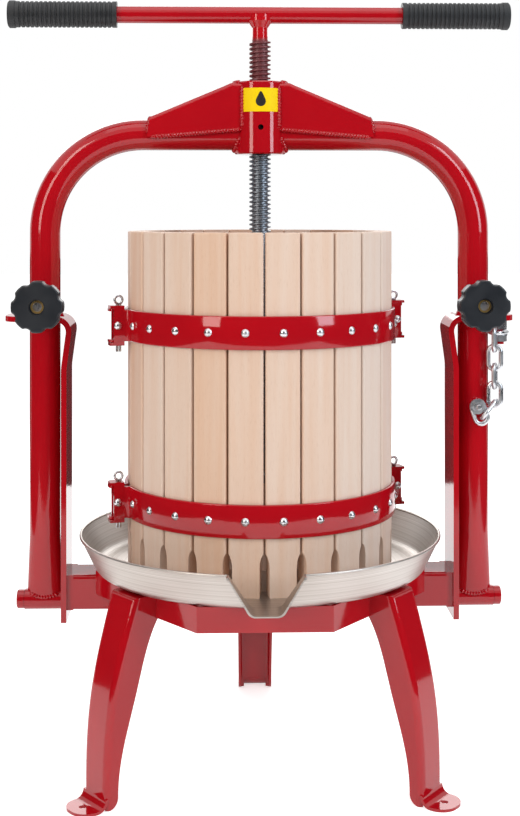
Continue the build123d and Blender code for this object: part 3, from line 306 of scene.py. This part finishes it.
def grain_group():
    """Planed beech: long grain, short ray flecks and a tint for each board."""
    if "Beech Grain" in bpy.data.node_groups:
        return bpy.data.node_groups["Beech Grain"]
    group, start, end = new_group(
        "Beech Grain",
        (
            ("Along Grain", "NodeSocketVector", None),
            ("Board", "NodeSocketFloat", 0.0),
            ("Light", "NodeSocketColor", (0.8, 0.7, 0.5, 1.0)),
            ("Warm", "NodeSocketColor", (0.6, 0.4, 0.3, 1.0)),
        ),
        (("Color", "NodeSocketColor"), ("Roughness", "NodeSocketFloat"), ("Height", "NodeSocketFloat")),
    )
    tint = add_node(
        group, "ShaderNodeTexWhiteNoise", {"noise_dimensions": "1D"}, {"W": start.outputs["Board"]}
    ).outputs["Value"]
    board_shift = 37.0
    band_stretch, fleck_stretch = (1.0, 1.0, 0.045), (1.0, 1.0, 0.16)
    base_warmth, board_spread, line_spread = 0.05, 0.75, 1.1
    fleck_depth, fleck_brown, fleck_pit = 0.14, (0.72, 0.58, 0.46, 1.0), -0.4
    shift = math_node(group, "MULTIPLY", tint, board_shift)
    offset = add_node(group, "ShaderNodeCombineXYZ", None, {"Z": shift}).outputs[0]
    moved = add_node(
        group, "ShaderNodeVectorMath", None, {0: start.outputs["Along Grain"], 1: offset}
    ).outputs[0]
    bands = noise(group, scaled(group, moved, band_stretch), 95.0, 5.0, 0.6)
    flecks = noise(group, scaled(group, moved, fleck_stretch), 900.0, 1.0)
    fleck_mask = map_range(group, flecks, 0.58, 0.72)
    board_warmth = math_node(group, "MULTIPLY", tint, board_spread)
    line_warmth = math_node(group, "MULTIPLY", math_node(group, "SUBTRACT", bands, 0.5), line_spread)
    warmth = math_node(group, "ADD", math_node(group, "ADD", board_warmth, line_warmth), base_warmth)
    base = mix_colours(group, warmth, start.outputs["Light"], start.outputs["Warm"])
    fleck_share = math_node(group, "MULTIPLY", fleck_mask, fleck_depth)
    darker = mix_colours(group, fleck_share, base, fleck_brown, "MULTIPLY")
    pits = math_node(group, "MULTIPLY", fleck_mask, fleck_pit)
    group.links.new(darker, end.inputs["Color"])
    group.links.new(map_range(group, bands, to_min=0.48, to_max=0.66), end.inputs["Roughness"])
    group.links.new(math_node(group, "ADD", bands, pits), end.inputs["Height"])
    return group


def start_material(name):
    """A material with an empty Principled BSDF to dress."""
    made = bpy.data.materials.new(name)
    made.use_nodes = True
    return made, made.node_tree, made.node_tree.nodes["Principled BSDF"]


def place_group(tree, group, inputs):
    return add_node(tree, "ShaderNodeGroup", {"node_tree": group}, inputs)


def bump(tree, shader, height, strength, distance, under=None):
    """A relief on the shader, laid over another relief where there is one."""
    made = add_node(
        tree, "ShaderNodeBump", None, {"Height": height, "Strength": strength, "Distance": distance}
    )
    if under is not None:
        tree.links.new(under, made.inputs["Normal"])
    tree.links.new(made.outputs["Normal"], shader.inputs["Normal"])


def rgba(colour, alpha=1.0):
    return (*colour, alpha)


def coloured_coat(name):
    """A material with the coat's colour and gloss, and the height of its orange peel."""
    made, tree, shader = start_material(name)
    gloss = {"Scale": 14.0, "Fine Scale": 260.0, "Low": 0.05, "High": 0.10}
    mottle = place_group(tree, mottle_group(), gloss)
    colour = mix_colours(tree, mottle.outputs["Mask"], rgba(colours().red), rgba(colours().red_deep))
    tree.links.new(colour, shader.inputs["Base Color"])
    tree.links.new(mottle.outputs["Roughness"], shader.inputs["Roughness"])
    return made, tree, shader, mottle.outputs["Height"]


def orange_peel(tree, shader, height, under=None):
    """The coat's own fine relief."""
    bump(tree, shader, height, strength=0.08, distance=0.0003, under=under)


def red_coat():
    """Glossy powder coat with a slight orange peel."""
    if "Red powder coat" in bpy.data.materials:
        return bpy.data.materials["Red powder coat"]
    made, tree, shader, peel = coloured_coat("Red powder coat")
    orange_peel(tree, shader, peel)
    return made


def band_span(name):
    """Lower and upper edge of a hoop's band, away from its ears."""
    middle = box_size(name)[1].x / 3
    levels = [vertex.co.z for vertex in nodes[name].data.vertices if abs(vertex.co.x) < middle]
    return min(levels), max(levels)


def hoop_coat():
    """The coat on the hoops, whose faces bulge a little between their edges."""
    made, tree, shader, peel = coloured_coat("Red powder coat on hoops")
    height = object_axes(tree)[1]["Z"]
    away = []
    for name in ("hoop_upper_front", "hoop_lower_front"):
        low, high = band_span(name)
        offset = math_node(tree, "ABSOLUTE", math_node(tree, "SUBTRACT", height, (low + high) / 2))
        away.append(math_node(tree, "DIVIDE", offset, (high - low) / 2))
    share = math_node(tree, "MINIMUM", *away)
    bulge = math_node(tree, "MULTIPLY", math_node(tree, "MULTIPLY", share, share), -sizes().hoop_crown)
    crown = add_node(tree, "ShaderNodeBump", None, {"Height": bulge, "Strength": 1.0, "Distance": 1.0})
    orange_peel(tree, shader, peel, crown.outputs["Normal"])
    return made


def stave_wood():
    """Beech with a tint of its own for each stave round the basket."""
    made, tree, shader = start_material("Planed beech staves")
    coords, axes = object_axes(tree)
    turn = math_node(tree, "ARCTAN2", axes["Y"], axes["X"])
    stave_angle = 2 * math.pi / STAVE_COUNT
    board = math_node(tree, "FLOOR", math_node(tree, "DIVIDE", turn, stave_angle))
    dress_wood(tree, shader, coords, board)
    return made


def board_wood():
    """Beech with its grain along X."""
    made, tree, shader = start_material("Planed beech boards")
    _, axes = object_axes(tree)
    turned = add_node(
        tree, "ShaderNodeCombineXYZ", None, {"X": axes["Y"], "Y": axes["Z"], "Z": axes["X"]}
    ).outputs[0]
    boards_per_metre = 14.0
    board = math_node(tree, "FLOOR", math_node(tree, "MULTIPLY", axes["Y"], boards_per_metre))
    dress_wood(tree, shader, turned, board)
    return made


def dress_wood(tree, shader, along, board):
    """Beech on a shader, with its grain along Z of the coordinates it is given."""
    grain = place_group(
        tree,
        grain_group(),
        {
            "Along Grain": along,
            "Board": board,
            "Light": rgba(colours().beech_light),
            "Warm": rgba(colours().beech_warm),
        },
    )
    tree.links.new(grain.outputs["Color"], shader.inputs["Base Color"])
    tree.links.new(grain.outputs["Roughness"], shader.inputs["Roughness"])
    bump(tree, shader, grain.outputs["Height"], strength=0.25, distance=0.0004)


def metal(name, colour, low, high, scale):
    """Bare or plated metal with soft patches of gloss."""
    made, tree, shader = start_material(name)
    gloss = {"Scale": scale, "Fine Scale": 900.0, "Low": low, "High": high}
    mottle = place_group(tree, mottle_group(), gloss)
    shader.inputs["Base Color"].default_value = rgba(colour)
    shader.inputs["Metallic"].default_value = 1.0
    tree.links.new(mottle.outputs["Roughness"], shader.inputs["Roughness"])
    bump(tree, shader, mottle.outputs["Height"], strength=0.06, distance=0.0003)
    return made


def spun_steel():
    """Sheet with fine rings left by spinning, in dull streaks and patches."""
    made, tree, shader = start_material("Spun stainless sheet")
    coords, axes = object_axes(tree)
    flat = add_node(tree, "ShaderNodeCombineXYZ", None, {"X": axes["X"], "Y": axes["Y"]})
    radius = add_node(tree, "ShaderNodeVectorMath", {"operation": "LENGTH"}, {0: flat.outputs[0]})
    reach = math_node(tree, "ADD", radius.outputs["Value"], axes["Z"])
    rings = line_noise(tree, reach, 900.0, 3.0)
    streaks = line_noise(tree, reach, 480.0, 4.0)
    patches = noise(tree, coords, 7.0, 2.0)
    dullness = map_range(tree, math_node(tree, "ADD", streaks, patches), 0.6, 1.45)
    colour = mix_colours(tree, dullness, rgba(colours().steel), rgba(colours().steel_dull))
    tree.links.new(colour, shader.inputs["Base Color"])
    shader.inputs["Metallic"].default_value = 1.0
    tree.links.new(map_range(tree, rings, to_min=0.32, to_max=0.48), shader.inputs["Roughness"])
    bump(tree, shader, rings, strength=0.15, distance=0.0002)
    return made


def screw_steel(dust_from, dust_to, coat_from, coat_to):
    """Oiled steel, dusted with red above the hub and fully coated above the thread."""
    made, tree, shader = start_material("Oiled screw steel")
    gloss = {"Scale": 60.0, "Fine Scale": 900.0, "Low": 0.36, "High": 0.55}
    mottle = place_group(tree, mottle_group(), gloss)
    mask = mottle.outputs["Mask"]
    height = object_axes(tree)[1]["Z"]
    ragged_edge, coat_gloss = 0.03, 0.8
    patchy = math_node(tree, "ADD", height, math_node(tree, "MULTIPLY", mask, ragged_edge))
    cover = map_range(tree, mask, to_min=0.8, to_max=1.0)
    dust = math_node(tree, "MULTIPLY", map_range(tree, patchy, dust_from, dust_to), cover)
    coat = map_range(tree, height, coat_from, coat_to)
    dusted = mix_colours(tree, dust, rgba(colours().screw), rgba(colours().red_dust))
    coated = mix_colours(tree, coat, dusted, rgba(colours().red))
    bare = math_node(tree, "SUBTRACT", 1.0, math_node(tree, "MAXIMUM", dust, coat))
    dullness = math_node(tree, "SUBTRACT", 1.0, math_node(tree, "MULTIPLY", coat, coat_gloss))
    rough = math_node(tree, "MULTIPLY", mottle.outputs["Roughness"], dullness)
    tree.links.new(coated, shader.inputs["Base Color"])
    tree.links.new(bare, shader.inputs["Metallic"])
    tree.links.new(rough, shader.inputs["Roughness"])
    return made


def moulded(name, colour, low, high, depth, strength):
    """Plain plastic or rubber with a fine skin."""
    made, tree, shader = start_material(name)
    gloss = {"Scale": 40.0, "Fine Scale": 1400.0, "Low": low, "High": high}
    mottle = place_group(tree, mottle_group(), gloss)
    shader.inputs["Base Color"].default_value = rgba(colour)
    tree.links.new(mottle.outputs["Roughness"], shader.inputs["Roughness"])
    bump(tree, shader, mottle.outputs["Height"], strength, depth)
    return made


def dress(names, material, angle=35.0):
    """Gives CAD nodes one material and smooth faces with crisp edges."""
    for name in names:
        mesh = nodes[name].data
        mesh.materials.clear()
        mesh.materials.append(material)
        mesh.shade_smooth()
        mesh.set_sharp_from_angle(angle=math.radians(angle))


def soften(names, width):
    """Rounds the cut edges of plates, after joining the triangles of each flat face."""
    for name in names:
        flat = nodes[name].modifiers.new("Join flat faces", "DECIMATE")
        flat.decimate_type = "DISSOLVE"
        flat.angle_limit = math.radians(0.5)
        edge = nodes[name].modifiers.new("Soft edges", "BEVEL")
        edge.width = width
        edge.segments = 2
        edge.limit_method = "ANGLE"
        edge.angle_limit = math.radians(40)
        edge.harden_normals = True


def add_to_scene(name, data):
    """A new object in the scene's own collection."""
    made = bpy.data.objects.new(name, data)
    bpy.context.scene.collection.objects.link(made)
    return made


def piece(name, bm, body, material, smooth_angle=40.0):
    """A new piece from a bmesh, riding on a CAD body."""
    bmesh.ops.recalc_face_normals(bm, faces=bm.faces)
    mesh = bpy.data.meshes.new(name)
    bm.to_mesh(mesh)
    bm.free()
    mesh.materials.append(material)
    mesh.shade_smooth()
    mesh.set_sharp_from_angle(angle=math.radians(smooth_angle))
    made = add_to_scene(name, mesh)
    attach(made, body)
    return made


def resample(points, step):
    """The same path with points about one step apart."""
    made = [Vector(points[0])]
    for start, end in zip(points, points[1:]):
        start, end = Vector(start), Vector(end)
        count = max(1, round((end - start).length / step))
        for index in range(1, count + 1):
            made.append(start.lerp(end, index / count))
    return made


def tube(bm, path, radius_at, sides=10):
    """A closed tube along a path, with its own radius at each point."""
    rings = []
    across = None
    for index, point in enumerate(path):
        ahead = path[min(index + 1, len(path) - 1)]
        behind = path[max(index - 1, 0)]
        along = (ahead - behind).normalized()
        if across is None:
            across = along.orthogonal().normalized()
        across = (across - along * across.dot(along)).normalized()
        other = along.cross(across)
        radius = radius_at(index, len(path))
        ring = []
        for side in range(sides):
            turn = 2 * math.pi * side / sides
            ring.append(bm.verts.new(point + radius * (math.cos(turn) * across + math.sin(turn) * other)))
        rings.append(ring)
    for first, second in zip(rings, rings[1:]):
        for side in range(sides):
            after = (side + 1) % sides
            bm.faces.new((first[side], first[after], second[after], second[side]))
    bm.faces.new(rings[0][::-1])
    bm.faces.new(rings[-1])


def weld(bm, points):
    """A rippled bead along a path, tapered at its ends."""
    points_per_ripple = 3
    end_share, end_growth = 0.35, 0.2
    path = resample(points, sizes().weld_ripple / points_per_ripple)

    def bead_radius(index, count):
        taper = min(1.0, end_share + end_growth * min(index, count - 1 - index))
        swell = sizes().weld_swell * math.cos(2 * math.pi * index / points_per_ripple)
        return sizes().weld_radius * taper * (1.0 + swell)

    tube(bm, path, bead_radius, sides=8)


class PRESS_OT_paint_steelwork(bpy.types.Operator):
    """Coat the stand, the yoke, the hoops and the handle"""

    bl_idname = "press.paint_steelwork"
    bl_label = "Paint Steelwork"

    def execute(self, context):
        dress(PAINTED, red_coat())
        dress(HOOPS, hoop_coat())
        soften(PLATES, sizes().edge_round)
        return {"FINISHED"}


class PRESS_OT_plane_wood(bpy.types.Operator):
    """Give the staves and the press boards their grain"""

    bl_idname = "press.plane_wood"
    bl_label = "Plane Wood"

    def execute(self, context):
        dress(STAVES, stave_wood())
        dress(BOARDS, board_wood())
        return {"FINISHED"}


def spout_half_width():
    """Half of the spout's width at its front upper edge, measured on the pan's own solid."""
    low, high, _ = box_size("juice_pan")
    pan = nodes["juice_pan"]
    near = 0.0005
    corners = [pan.matrix_world @ vertex.co for vertex in pan.data.vertices]
    lips = [abs(spot.x) for spot in corners if spot.y < low.y + near and spot.z > high.z - near]
    if not lips:
        raise RuntimeError("The pan has no spout at its front edge")
    return max(lips)


class PRESS_OT_spin_pan(bpy.types.Operator):
    """Finish the juice pan and roll its rim"""

    bl_idname = "press.spin_pan"
    bl_label = "Spin Pan"

    def execute(self, context):
        steel = spun_steel()
        dress(("juice_pan",), steel, angle=30.0)
        low, high, _ = box_size("juice_pan")
        rim_radius = sizes().rim_radius
        rim = high.x - rim_radius / 2
        spout_half = spout_half_width()
        start = math.asin(spout_half / rim)
        path = []
        count = 180
        for index in range(count + 1):
            turn = -math.pi / 2 + start + (2 * math.pi - 2 * start) * index / count
            path.append(Vector((rim * math.cos(turn), rim * math.sin(turn), high.z)))
        front = low.y + rim_radius
        path = [Vector((spout_half, front, high.z))] + path + [Vector((-spout_half, front, high.z))]
        bm = bmesh.new()
        tube(bm, path, lambda index, total: rim_radius)
        piece("pan_rim_roll", bm, "pan", steel)
        return {"FINISHED"}


def thread_sizes():
    """Pitch, core radius, crest radius and the ends of the thread, measured on the spindle's own solid."""
    hub_bottom = box_size("hub")[0].z
    window, crest_near, core_near = 0.05, 0.0001, 0.00005
    rings = [(vertex.co.z, vertex.co.xy.length) for vertex in nodes["spindle"].data.vertices]
    seen = [(z, radius) for z, radius in rings if hub_bottom - window < z < hub_bottom]
    core = min(radius for _, radius in seen)
    crest = max(radius for _, radius in seen)
    edges = sorted({round(z, 5) for z, radius in seen if radius > crest - crest_near})
    cores = [z for z, radius in rings if abs(radius - core) < core_near]
    return edges[2] - edges[0], core, crest, min(cores), max(cores)


def ribbon(bm, pitch, root, crest, low, high):
    """A closed ridge that winds up the screw and fades out over half a turn at each end."""
    steps = 40
    count = int((high - low) / pitch * steps)
    rows = []
    for index in range(count + 1):
        turn = 2 * math.pi * index / steps
        middle = low + pitch * index / steps
        depth = (crest - root) * min(1.0, min(index, count - index) / (steps / 2))
        row = []
        for shift, flank in THREAD_PROFILE:
            radius = root + depth * flank
            place = (radius * math.cos(turn), radius * math.sin(turn), middle + shift * pitch)
            row.append(bm.verts.new(place))
        rows.append(row)
    corners = len(THREAD_PROFILE)
    for first, second in zip(rows, rows[1:]):
        for side in range(corners):
            after = (side + 1) % corners
            bm.faces.new((first[side], second[side], second[after], first[after]))
    bm.faces.new(rows[0])
    bm.faces.new(rows[-1][::-1])


class PRESS_OT_cut_screw(bpy.types.Operator):
    """Cut the helical thread on the spindle, and finish its foot and set screws"""

    bl_idname = "press.cut_screw"
    bl_label = "Cut Screw"

    def execute(self, context):
        hub_top = box_size("hub")[1].z
        dust_start, dust_full = hub_top + 0.004, hub_top + 0.02
        pitch, core, crest, low, high = thread_sizes()
        steel = screw_steel(dust_start, dust_full, high - pitch, high)
        dress(("press_foot", "foot_set_screws"), steel)
        bm = bmesh.new()
        bm.from_mesh(nodes["spindle"].data)
        near, sunk = 0.00001, 0.0001
        ringed = [
            vertex
            for vertex in bm.verts
            if low - near < vertex.co.z < high + near and vertex.co.xy.length > core - sunk
        ]
        bmesh.ops.delete(bm, geom=ringed, context="VERTS")
        into_neck = 0.2 * pitch
        shank = [Vector((0, 0, low)), Vector((0, 0, high + into_neck))]
        tube(bm, shank, lambda index, total: core, sides=40)
        ribbon(bm, pitch, core - 2 * sunk, crest, low + pitch / 2, high - pitch / 2)
        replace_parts(piece("threaded_spindle", bm, "screw", steel), "spindle")
        return {"FINISHED"}


class PRESS_OT_mould_grips(bpy.types.Operator):
    """Finish the knobs and the hand grips"""

    bl_idname = "press.mould_grips"
    bl_label = "Mould Grips"

    def execute(self, context):
        black = moulded("Moulded black", colours().black, low=0.32, high=0.5, depth=0.0003, strength=0.1)
        rubber = moulded("Ribbed rubber", colours().rubber, low=0.42, high=0.6, depth=0.0003, strength=0.2)
        dress(("knob_left", "knob_right"), black)
        dress(("grip_left", "grip_right"), rubber)
        return {"FINISHED"}


class PRESS_OT_plate_fasteners(bpy.types.Operator):
    """Finish the chain, the pins, the screws and the bushes"""

    bl_idname = "press.plate_fasteners"
    bl_label = "Plate Fasteners"

    def execute(self, context):
        dress(PLATED, metal("Bright zinc plate", colours().zinc, low=0.2, high=0.42, scale=80.0))
        brass = metal("Turned brass", colours().brass, low=0.25, high=0.4, scale=80.0)
        dress(("knob_bush_left", "knob_bush_right"), brass)
        return {"FINISHED"}


def arc(start, sweep, steps):
    """Angles from a start, in even steps; start and sweep are in degrees."""
    return [math.radians(start + sweep * index / steps) for index in range(steps + 1)]


def weld_gusset(bm, side, direction):
    """Beads where a gusset meets the hub and its arm, and where the arm meets the hub."""
    low, high, _ = box_size(f"gusset_{side}")
    arm_high = box_size(f"yoke_arm_{side}")[1]
    hub_radius = box_size("hub")[1].x
    tube_radius = arm_high.y
    crossbar = arm_high.z - tube_radius
    half = high.y
    root = math.sqrt(hub_radius**2 - half**2)
    outer = max(abs(low.x), abs(high.x))
    above_bar, below_top, along_bar = 0.006, 0.004, 0.0055
    edge_inset, nose_inset, nose_depth = 0.001, 0.004, 0.0035
    top_share = 0.9
    for face in (-1, 1):
        x, y = direction * root, face * half
        weld(bm, [(x, y, crossbar + above_bar), (x, y, high.z - below_top)])
    across = math.asin(half / hub_radius) * top_share
    upper = []
    for index in range(13):
        turn = across * (index / 6 - 1)
        upper.append((direction * hub_radius * math.cos(turn), hub_radius * math.sin(turn), high.z))
    weld(bm, upper)
    under = []
    for turn in arc(-172, 164, 24):
        y = tube_radius * math.cos(turn)
        x = direction * math.sqrt(hub_radius**2 - y**2)
        under.append((x, y, crossbar + tube_radius * math.sin(turn)))
    weld(bm, under)
    for face in (-1, 1):
        lower = [(root, crossbar + along_bar), (outer - nose_inset, low.z)]
        weld(bm, [(direction * x, face * (half - edge_inset), z) for x, z in lower])
    bead = tube_radius + sizes().weld_radius / 2
    nose = []
    for turn in arc(-84, 168, 14):
        x = direction * (outer - nose_depth * math.cos(turn))
        nose.append((x, bead * math.sin(turn), crossbar + bead * math.cos(turn)))
    weld(bm, nose)


class PRESS_OT_lay_welds(bpy.types.Operator):
    """Lay the beads that join the hub, the gussets and the arms"""

    bl_idname = "press.lay_welds"
    bl_label = "Lay Welds"

    def execute(self, context):
        coat = red_coat()
        for side, direction in SIDES:
            bm = bmesh.new()
            weld_gusset(bm, side, direction)
            piece(f"gusset_welds_{side}", bm, "yoke", coat, smooth_angle=60.0)
        return {"FINISHED"}


class PRESS_OT_weld_sleeves(bpy.types.Operator):
    """Lay the beads that join the posts to their pivot sleeves"""

    bl_idname = "press.weld_sleeves"
    bl_label = "Weld Sleeves"

    def execute(self, context):
        _, high, middle = box_size("pivot_sleeves")
        radius = high.y
        flare = sizes().flare_half
        low_rise, end_lift, flare_share = 0.42, 0.30, 0.82
        coat = red_coat()
        for side, direction in SIDES:
            arm_low, arm_high, _ = box_size(f"yoke_arm_{side}")
            outer = max(abs(arm_low.x), abs(arm_high.x))
            post = outer - flare
            bm = bmesh.new()
            for face in (-1, 1):
                bead = []
                for index in range(17):
                    share = index / 8 - 1
                    rise = radius * (low_rise + end_lift * share**2)
                    depth = math.sqrt(radius**2 - rise**2)
                    x = direction * (post + share * flare_share * flare)
                    bead.append((x, face * depth, middle.z + rise))
                weld(bm, bead)
            piece(f"sleeve_welds_{side}", bm, "yoke", coat, smooth_angle=60.0)
        return {"FINISHED"}


class PRESS_OT_print_label(bpy.types.Operator):
    """Finish the blank label and print an oil drop on it"""

    bl_idname = "press.print_label"
    bl_label = "Print Label"

    def execute(self, context):
        film = moulded("Label film", colours().yellow, low=0.5, high=0.6, depth=0.0002, strength=0.04)
        film.node_tree.nodes["Principled BSDF"].inputs["Specular IOR Level"].default_value = 0.15
        dress(("oil_label",), film)
        ink = moulded("Label ink", colours().ink, low=0.4, high=0.5, depth=0.0002, strength=0.03)
        low, _, middle = box_size("oil_label")
        ink_lift = 0.00012
        surface = -low.y + ink_lift
        height = sizes().drop_height
        round_share, tip_share, sink_share, tip_sharpness = 0.33, 0.32, 0.1, 6
        rings, segments = 6, 48
        bm = bmesh.new()
        centre = bm.verts.new((0.0, -surface, middle.z - sink_share * height))
        previous = None
        for ring in range(1, rings + 1):
            share = ring / rings
            row = []
            for index in range(segments):
                turn = 2 * math.pi * index / segments
                tip = tip_share * max(0.0, math.sin(turn)) ** tip_sharpness
                angle = round_share * height * math.cos(turn) * share / surface
                rise = height * ((round_share * math.sin(turn) + tip) * share - sink_share)
                row.append(
                    bm.verts.new((surface * math.sin(angle), -surface * math.cos(angle), middle.z + rise))
                )
            for index in range(segments):
                after = (index + 1) % segments
                if previous is None:
                    bm.faces.new((centre, row[index], row[after]))
                else:
                    bm.faces.new((previous[index], row[index], row[after], previous[after]))
            previous = row
        piece("label_drop", bm, "yoke", ink)
        return {"FINISHED"}


def studio_floor():
    """White ground that reaches far past the view."""
    reach = 12.0
    mesh = bpy.data.meshes.new("studio_floor")
    corners = [(-reach, -reach, 0), (reach, -reach, 0), (reach, reach, 0), (-reach, reach, 0)]
    mesh.from_pydata(corners, [], [(0, 1, 2, 3)])
    mesh.materials.append(studio_white())
    return add_to_scene("studio_floor", mesh)


def dark_cards(studio):
    """Cards in front, beside and low behind, and a mat round the floor, which only reflections show."""
    away, tall = studio.card_distance, studio.card_height
    near, lift = studio.mat_distance, 0.002
    outer = [(-away, away / 2), (-away, -away), (away, -away), (away, away / 2)]
    inner = [(-near, away / 2), (-near, -near), (near, -near), (near, away / 2)]
    points = [(x, y, z) for z in (lift, tall) for x, y in outer] + [(x, y, lift) for x, y in inner]
    sheets = [(0, 1, 5, 4), (1, 2, 6, 5), (2, 3, 7, 6), (0, 1, 9, 8), (1, 2, 10, 9), (2, 3, 11, 10)]
    behind = [(-away, lift), (away, lift), (away, studio.back_height), (-away, studio.back_height)]
    points += [(x, studio.back_distance, z) for x, z in behind]
    sheets.append((12, 13, 14, 15))
    mesh = bpy.data.meshes.new("dark_cards")
    mesh.from_pydata(points, [], sheets)
    mesh.materials.append(dark_card())
    cards = add_to_scene("dark_cards", mesh)
    cards.visible_camera = False
    cards.visible_diffuse = False
    cards.visible_shadow = False
    return cards


def studio_lamps(studio):
    """Two panes at the left, two at the right, a soft box above and one behind."""
    warm, plain, cool = (1.0, 0.93, 0.86), (1.0, 1.0, 1.0), (0.80, 0.90, 1.0)
    pane = (0.55, 0.75)
    lamps = (
        ("key_pane_low", (-1.35, -1.55, 0.95), pane, studio.key_power, warm),
        ("key_pane_high", (-1.35, -1.55, 1.80), pane, studio.key_power, warm),
        ("fill_pane_low", (1.60, -1.25, 0.95), pane, studio.fill_power, cool),
        ("fill_pane_high", (1.60, -1.25, 1.80), pane, studio.fill_power, cool),
        ("top_box", (0.0, -0.3, 2.2), (1.6, 1.2), studio.top_power, plain),
        ("rear_box", (0.0, 2.1, 1.3), (2.0, 0.9), studio.rear_power, plain),
    )
    aim = Vector((0, 0, studio.aim_height))
    made = []
    for name, place, size, power, colour in lamps:
        lamp = bpy.data.lights.new(name, "AREA")
        lamp.shape = "RECTANGLE"
        lamp.size, lamp.size_y = size
        lamp.energy = power
        lamp.color = colour
        holder = add_to_scene(name, lamp)
        holder.location = place
        holder.rotation_euler = (aim - Vector(place)).to_track_quat("-Z", "Y").to_euler()
        made.append(holder)
    return made


def photo_camera(studio):
    """A level camera, shifted so that the horizon lies where the photograph has it."""
    camera = bpy.data.cameras.new("photo_camera")
    camera.sensor_fit = "VERTICAL"
    camera.sensor_height = 36.0
    camera.lens = camera.sensor_height * studio.focal_pixels / studio.frame_height
    camera.shift_y = (studio.horizon_pixel - studio.frame_height / 2) / studio.frame_height
    holder = add_to_scene("photo_camera", camera)
    holder.location = (-studio.camera_side, -studio.camera_distance, studio.camera_height)
    holder.rotation_euler = (math.pi / 2, 0, -math.atan2(studio.camera_side, studio.camera_distance))
    return holder


class PRESS_OT_set_stage(bpy.types.Operator):
    """Set the floor, the cards, the lamps, the world and the camera"""

    bl_idname = "press.set_stage"
    bl_label = "Set Stage"

    def execute(self, context):
        scene = context.scene
        studio = scene.press_studio
        scene.view_settings.view_transform = "Standard"
        made = [studio_floor(), dark_cards(studio), *studio_lamps(studio)]
        studio_world(scene)
        scene.camera = photo_camera(studio)
        return {"FINISHED"}


def seen_directly(tree):
    """1 for rays that show the background itself: camera, glossy and transmission rays."""
    path = add_node(tree, "ShaderNodeLightPath")
    seen = math_node(tree, "MAXIMUM", path.outputs["Is Camera Ray"], path.outputs["Is Glossy Ray"])
    return math_node(tree, "MAXIMUM", seen, path.outputs["Is Transmission Ray"])


def studio_white():
    """White floor that still takes a shadow."""
    made, tree, shader = start_material("Studio white")
    shader.inputs["Base Color"].default_value = (0.9, 0.9, 0.9, 1)
    shader.inputs["Roughness"].default_value = 0.9
    glow = add_node(tree, "ShaderNodeEmission", None, {"Color": (1, 1, 1, 1), "Strength": 0.62})
    both = add_node(tree, "ShaderNodeAddShader", None, {0: shader.outputs[0], 1: glow.outputs[0]})
    mix = add_node(
        tree, "ShaderNodeMixShader", None, {0: seen_directly(tree), 1: shader.outputs[0], 2: both.outputs[0]}
    )
    tree.links.new(mix.outputs[0], tree.nodes["Material Output"].inputs["Surface"])
    return made


def dark_card():
    """Black paper, whose reflections keep the coat and the metal deep."""
    made, _, shader = start_material("Dark card")
    shader.inputs["Base Color"].default_value = (0.03, 0.03, 0.032, 1)
    shader.inputs["Roughness"].default_value = 1.0
    return made


def studio_world(scene):
    """White air, at half strength as a light."""
    world = bpy.data.worlds.new("Studio air")
    scene.world = world
    world.use_nodes = True
    tree = world.node_tree
    tree.nodes.clear()
    strength = map_range(tree, seen_directly(tree), to_min=0.5, to_max=1.0)
    back = add_node(tree, "ShaderNodeBackground", None, {"Color": (1, 1, 1, 1), "Strength": strength})
    add_node(tree, "ShaderNodeOutputWorld", None, {"Surface": back.outputs[0]})


class PRESS_PT_dressing(bpy.types.Panel):
    """Steps that dress the press, with their sizes and colours"""

    bl_idname = "PRESS_PT_dressing"
    bl_label = "Fruit Press"
    bl_space_type = "VIEW_3D"
    bl_region_type = "UI"
    bl_category = "Press"

    def draw(self, context):
        layout = self.layout
        for step in STEPS:
            layout.operator(step.bl_idname)
        for group in (context.scene.press_sizes, context.scene.press_colours, context.scene.press_studio):
            column = layout.column(align=True)
            for name in group.bl_rna.properties.keys():
                if name not in {"rna_type", "name"}:
                    column.prop(group, name)


STEPS = (
    PRESS_OT_paint_steelwork,
    PRESS_OT_plane_wood,
    PRESS_OT_spin_pan,
    PRESS_OT_cut_screw,
    PRESS_OT_mould_grips,
    PRESS_OT_plate_fasteners,
    PRESS_OT_lay_welds,
    PRESS_OT_weld_sleeves,
    PRESS_OT_print_label,
    PRESS_OT_set_stage,
)
CLASSES = (PressSizes, PressColours, PressStudio, *STEPS, PRESS_PT_dressing)


def register():
    for item in CLASSES:
        bpy.utils.register_class(item)
    bpy.types.Scene.press_sizes = PointerProperty(type=PressSizes)
    bpy.types.Scene.press_colours = PointerProperty(type=PressColours)
    bpy.types.Scene.press_studio = PointerProperty(type=PressStudio)


def unregister():
    del bpy.types.Scene.press_studio
    del bpy.types.Scene.press_colours
    del bpy.types.Scene.press_sizes
    for item in reversed(CLASSES):
        bpy.utils.unregister_class(item)


def main():
    register()
    for step in STEPS:
        area, name = step.bl_idname.split(".")
        getattr(getattr(bpy.ops, area), name)()


if __name__ == "__main__":
    main()
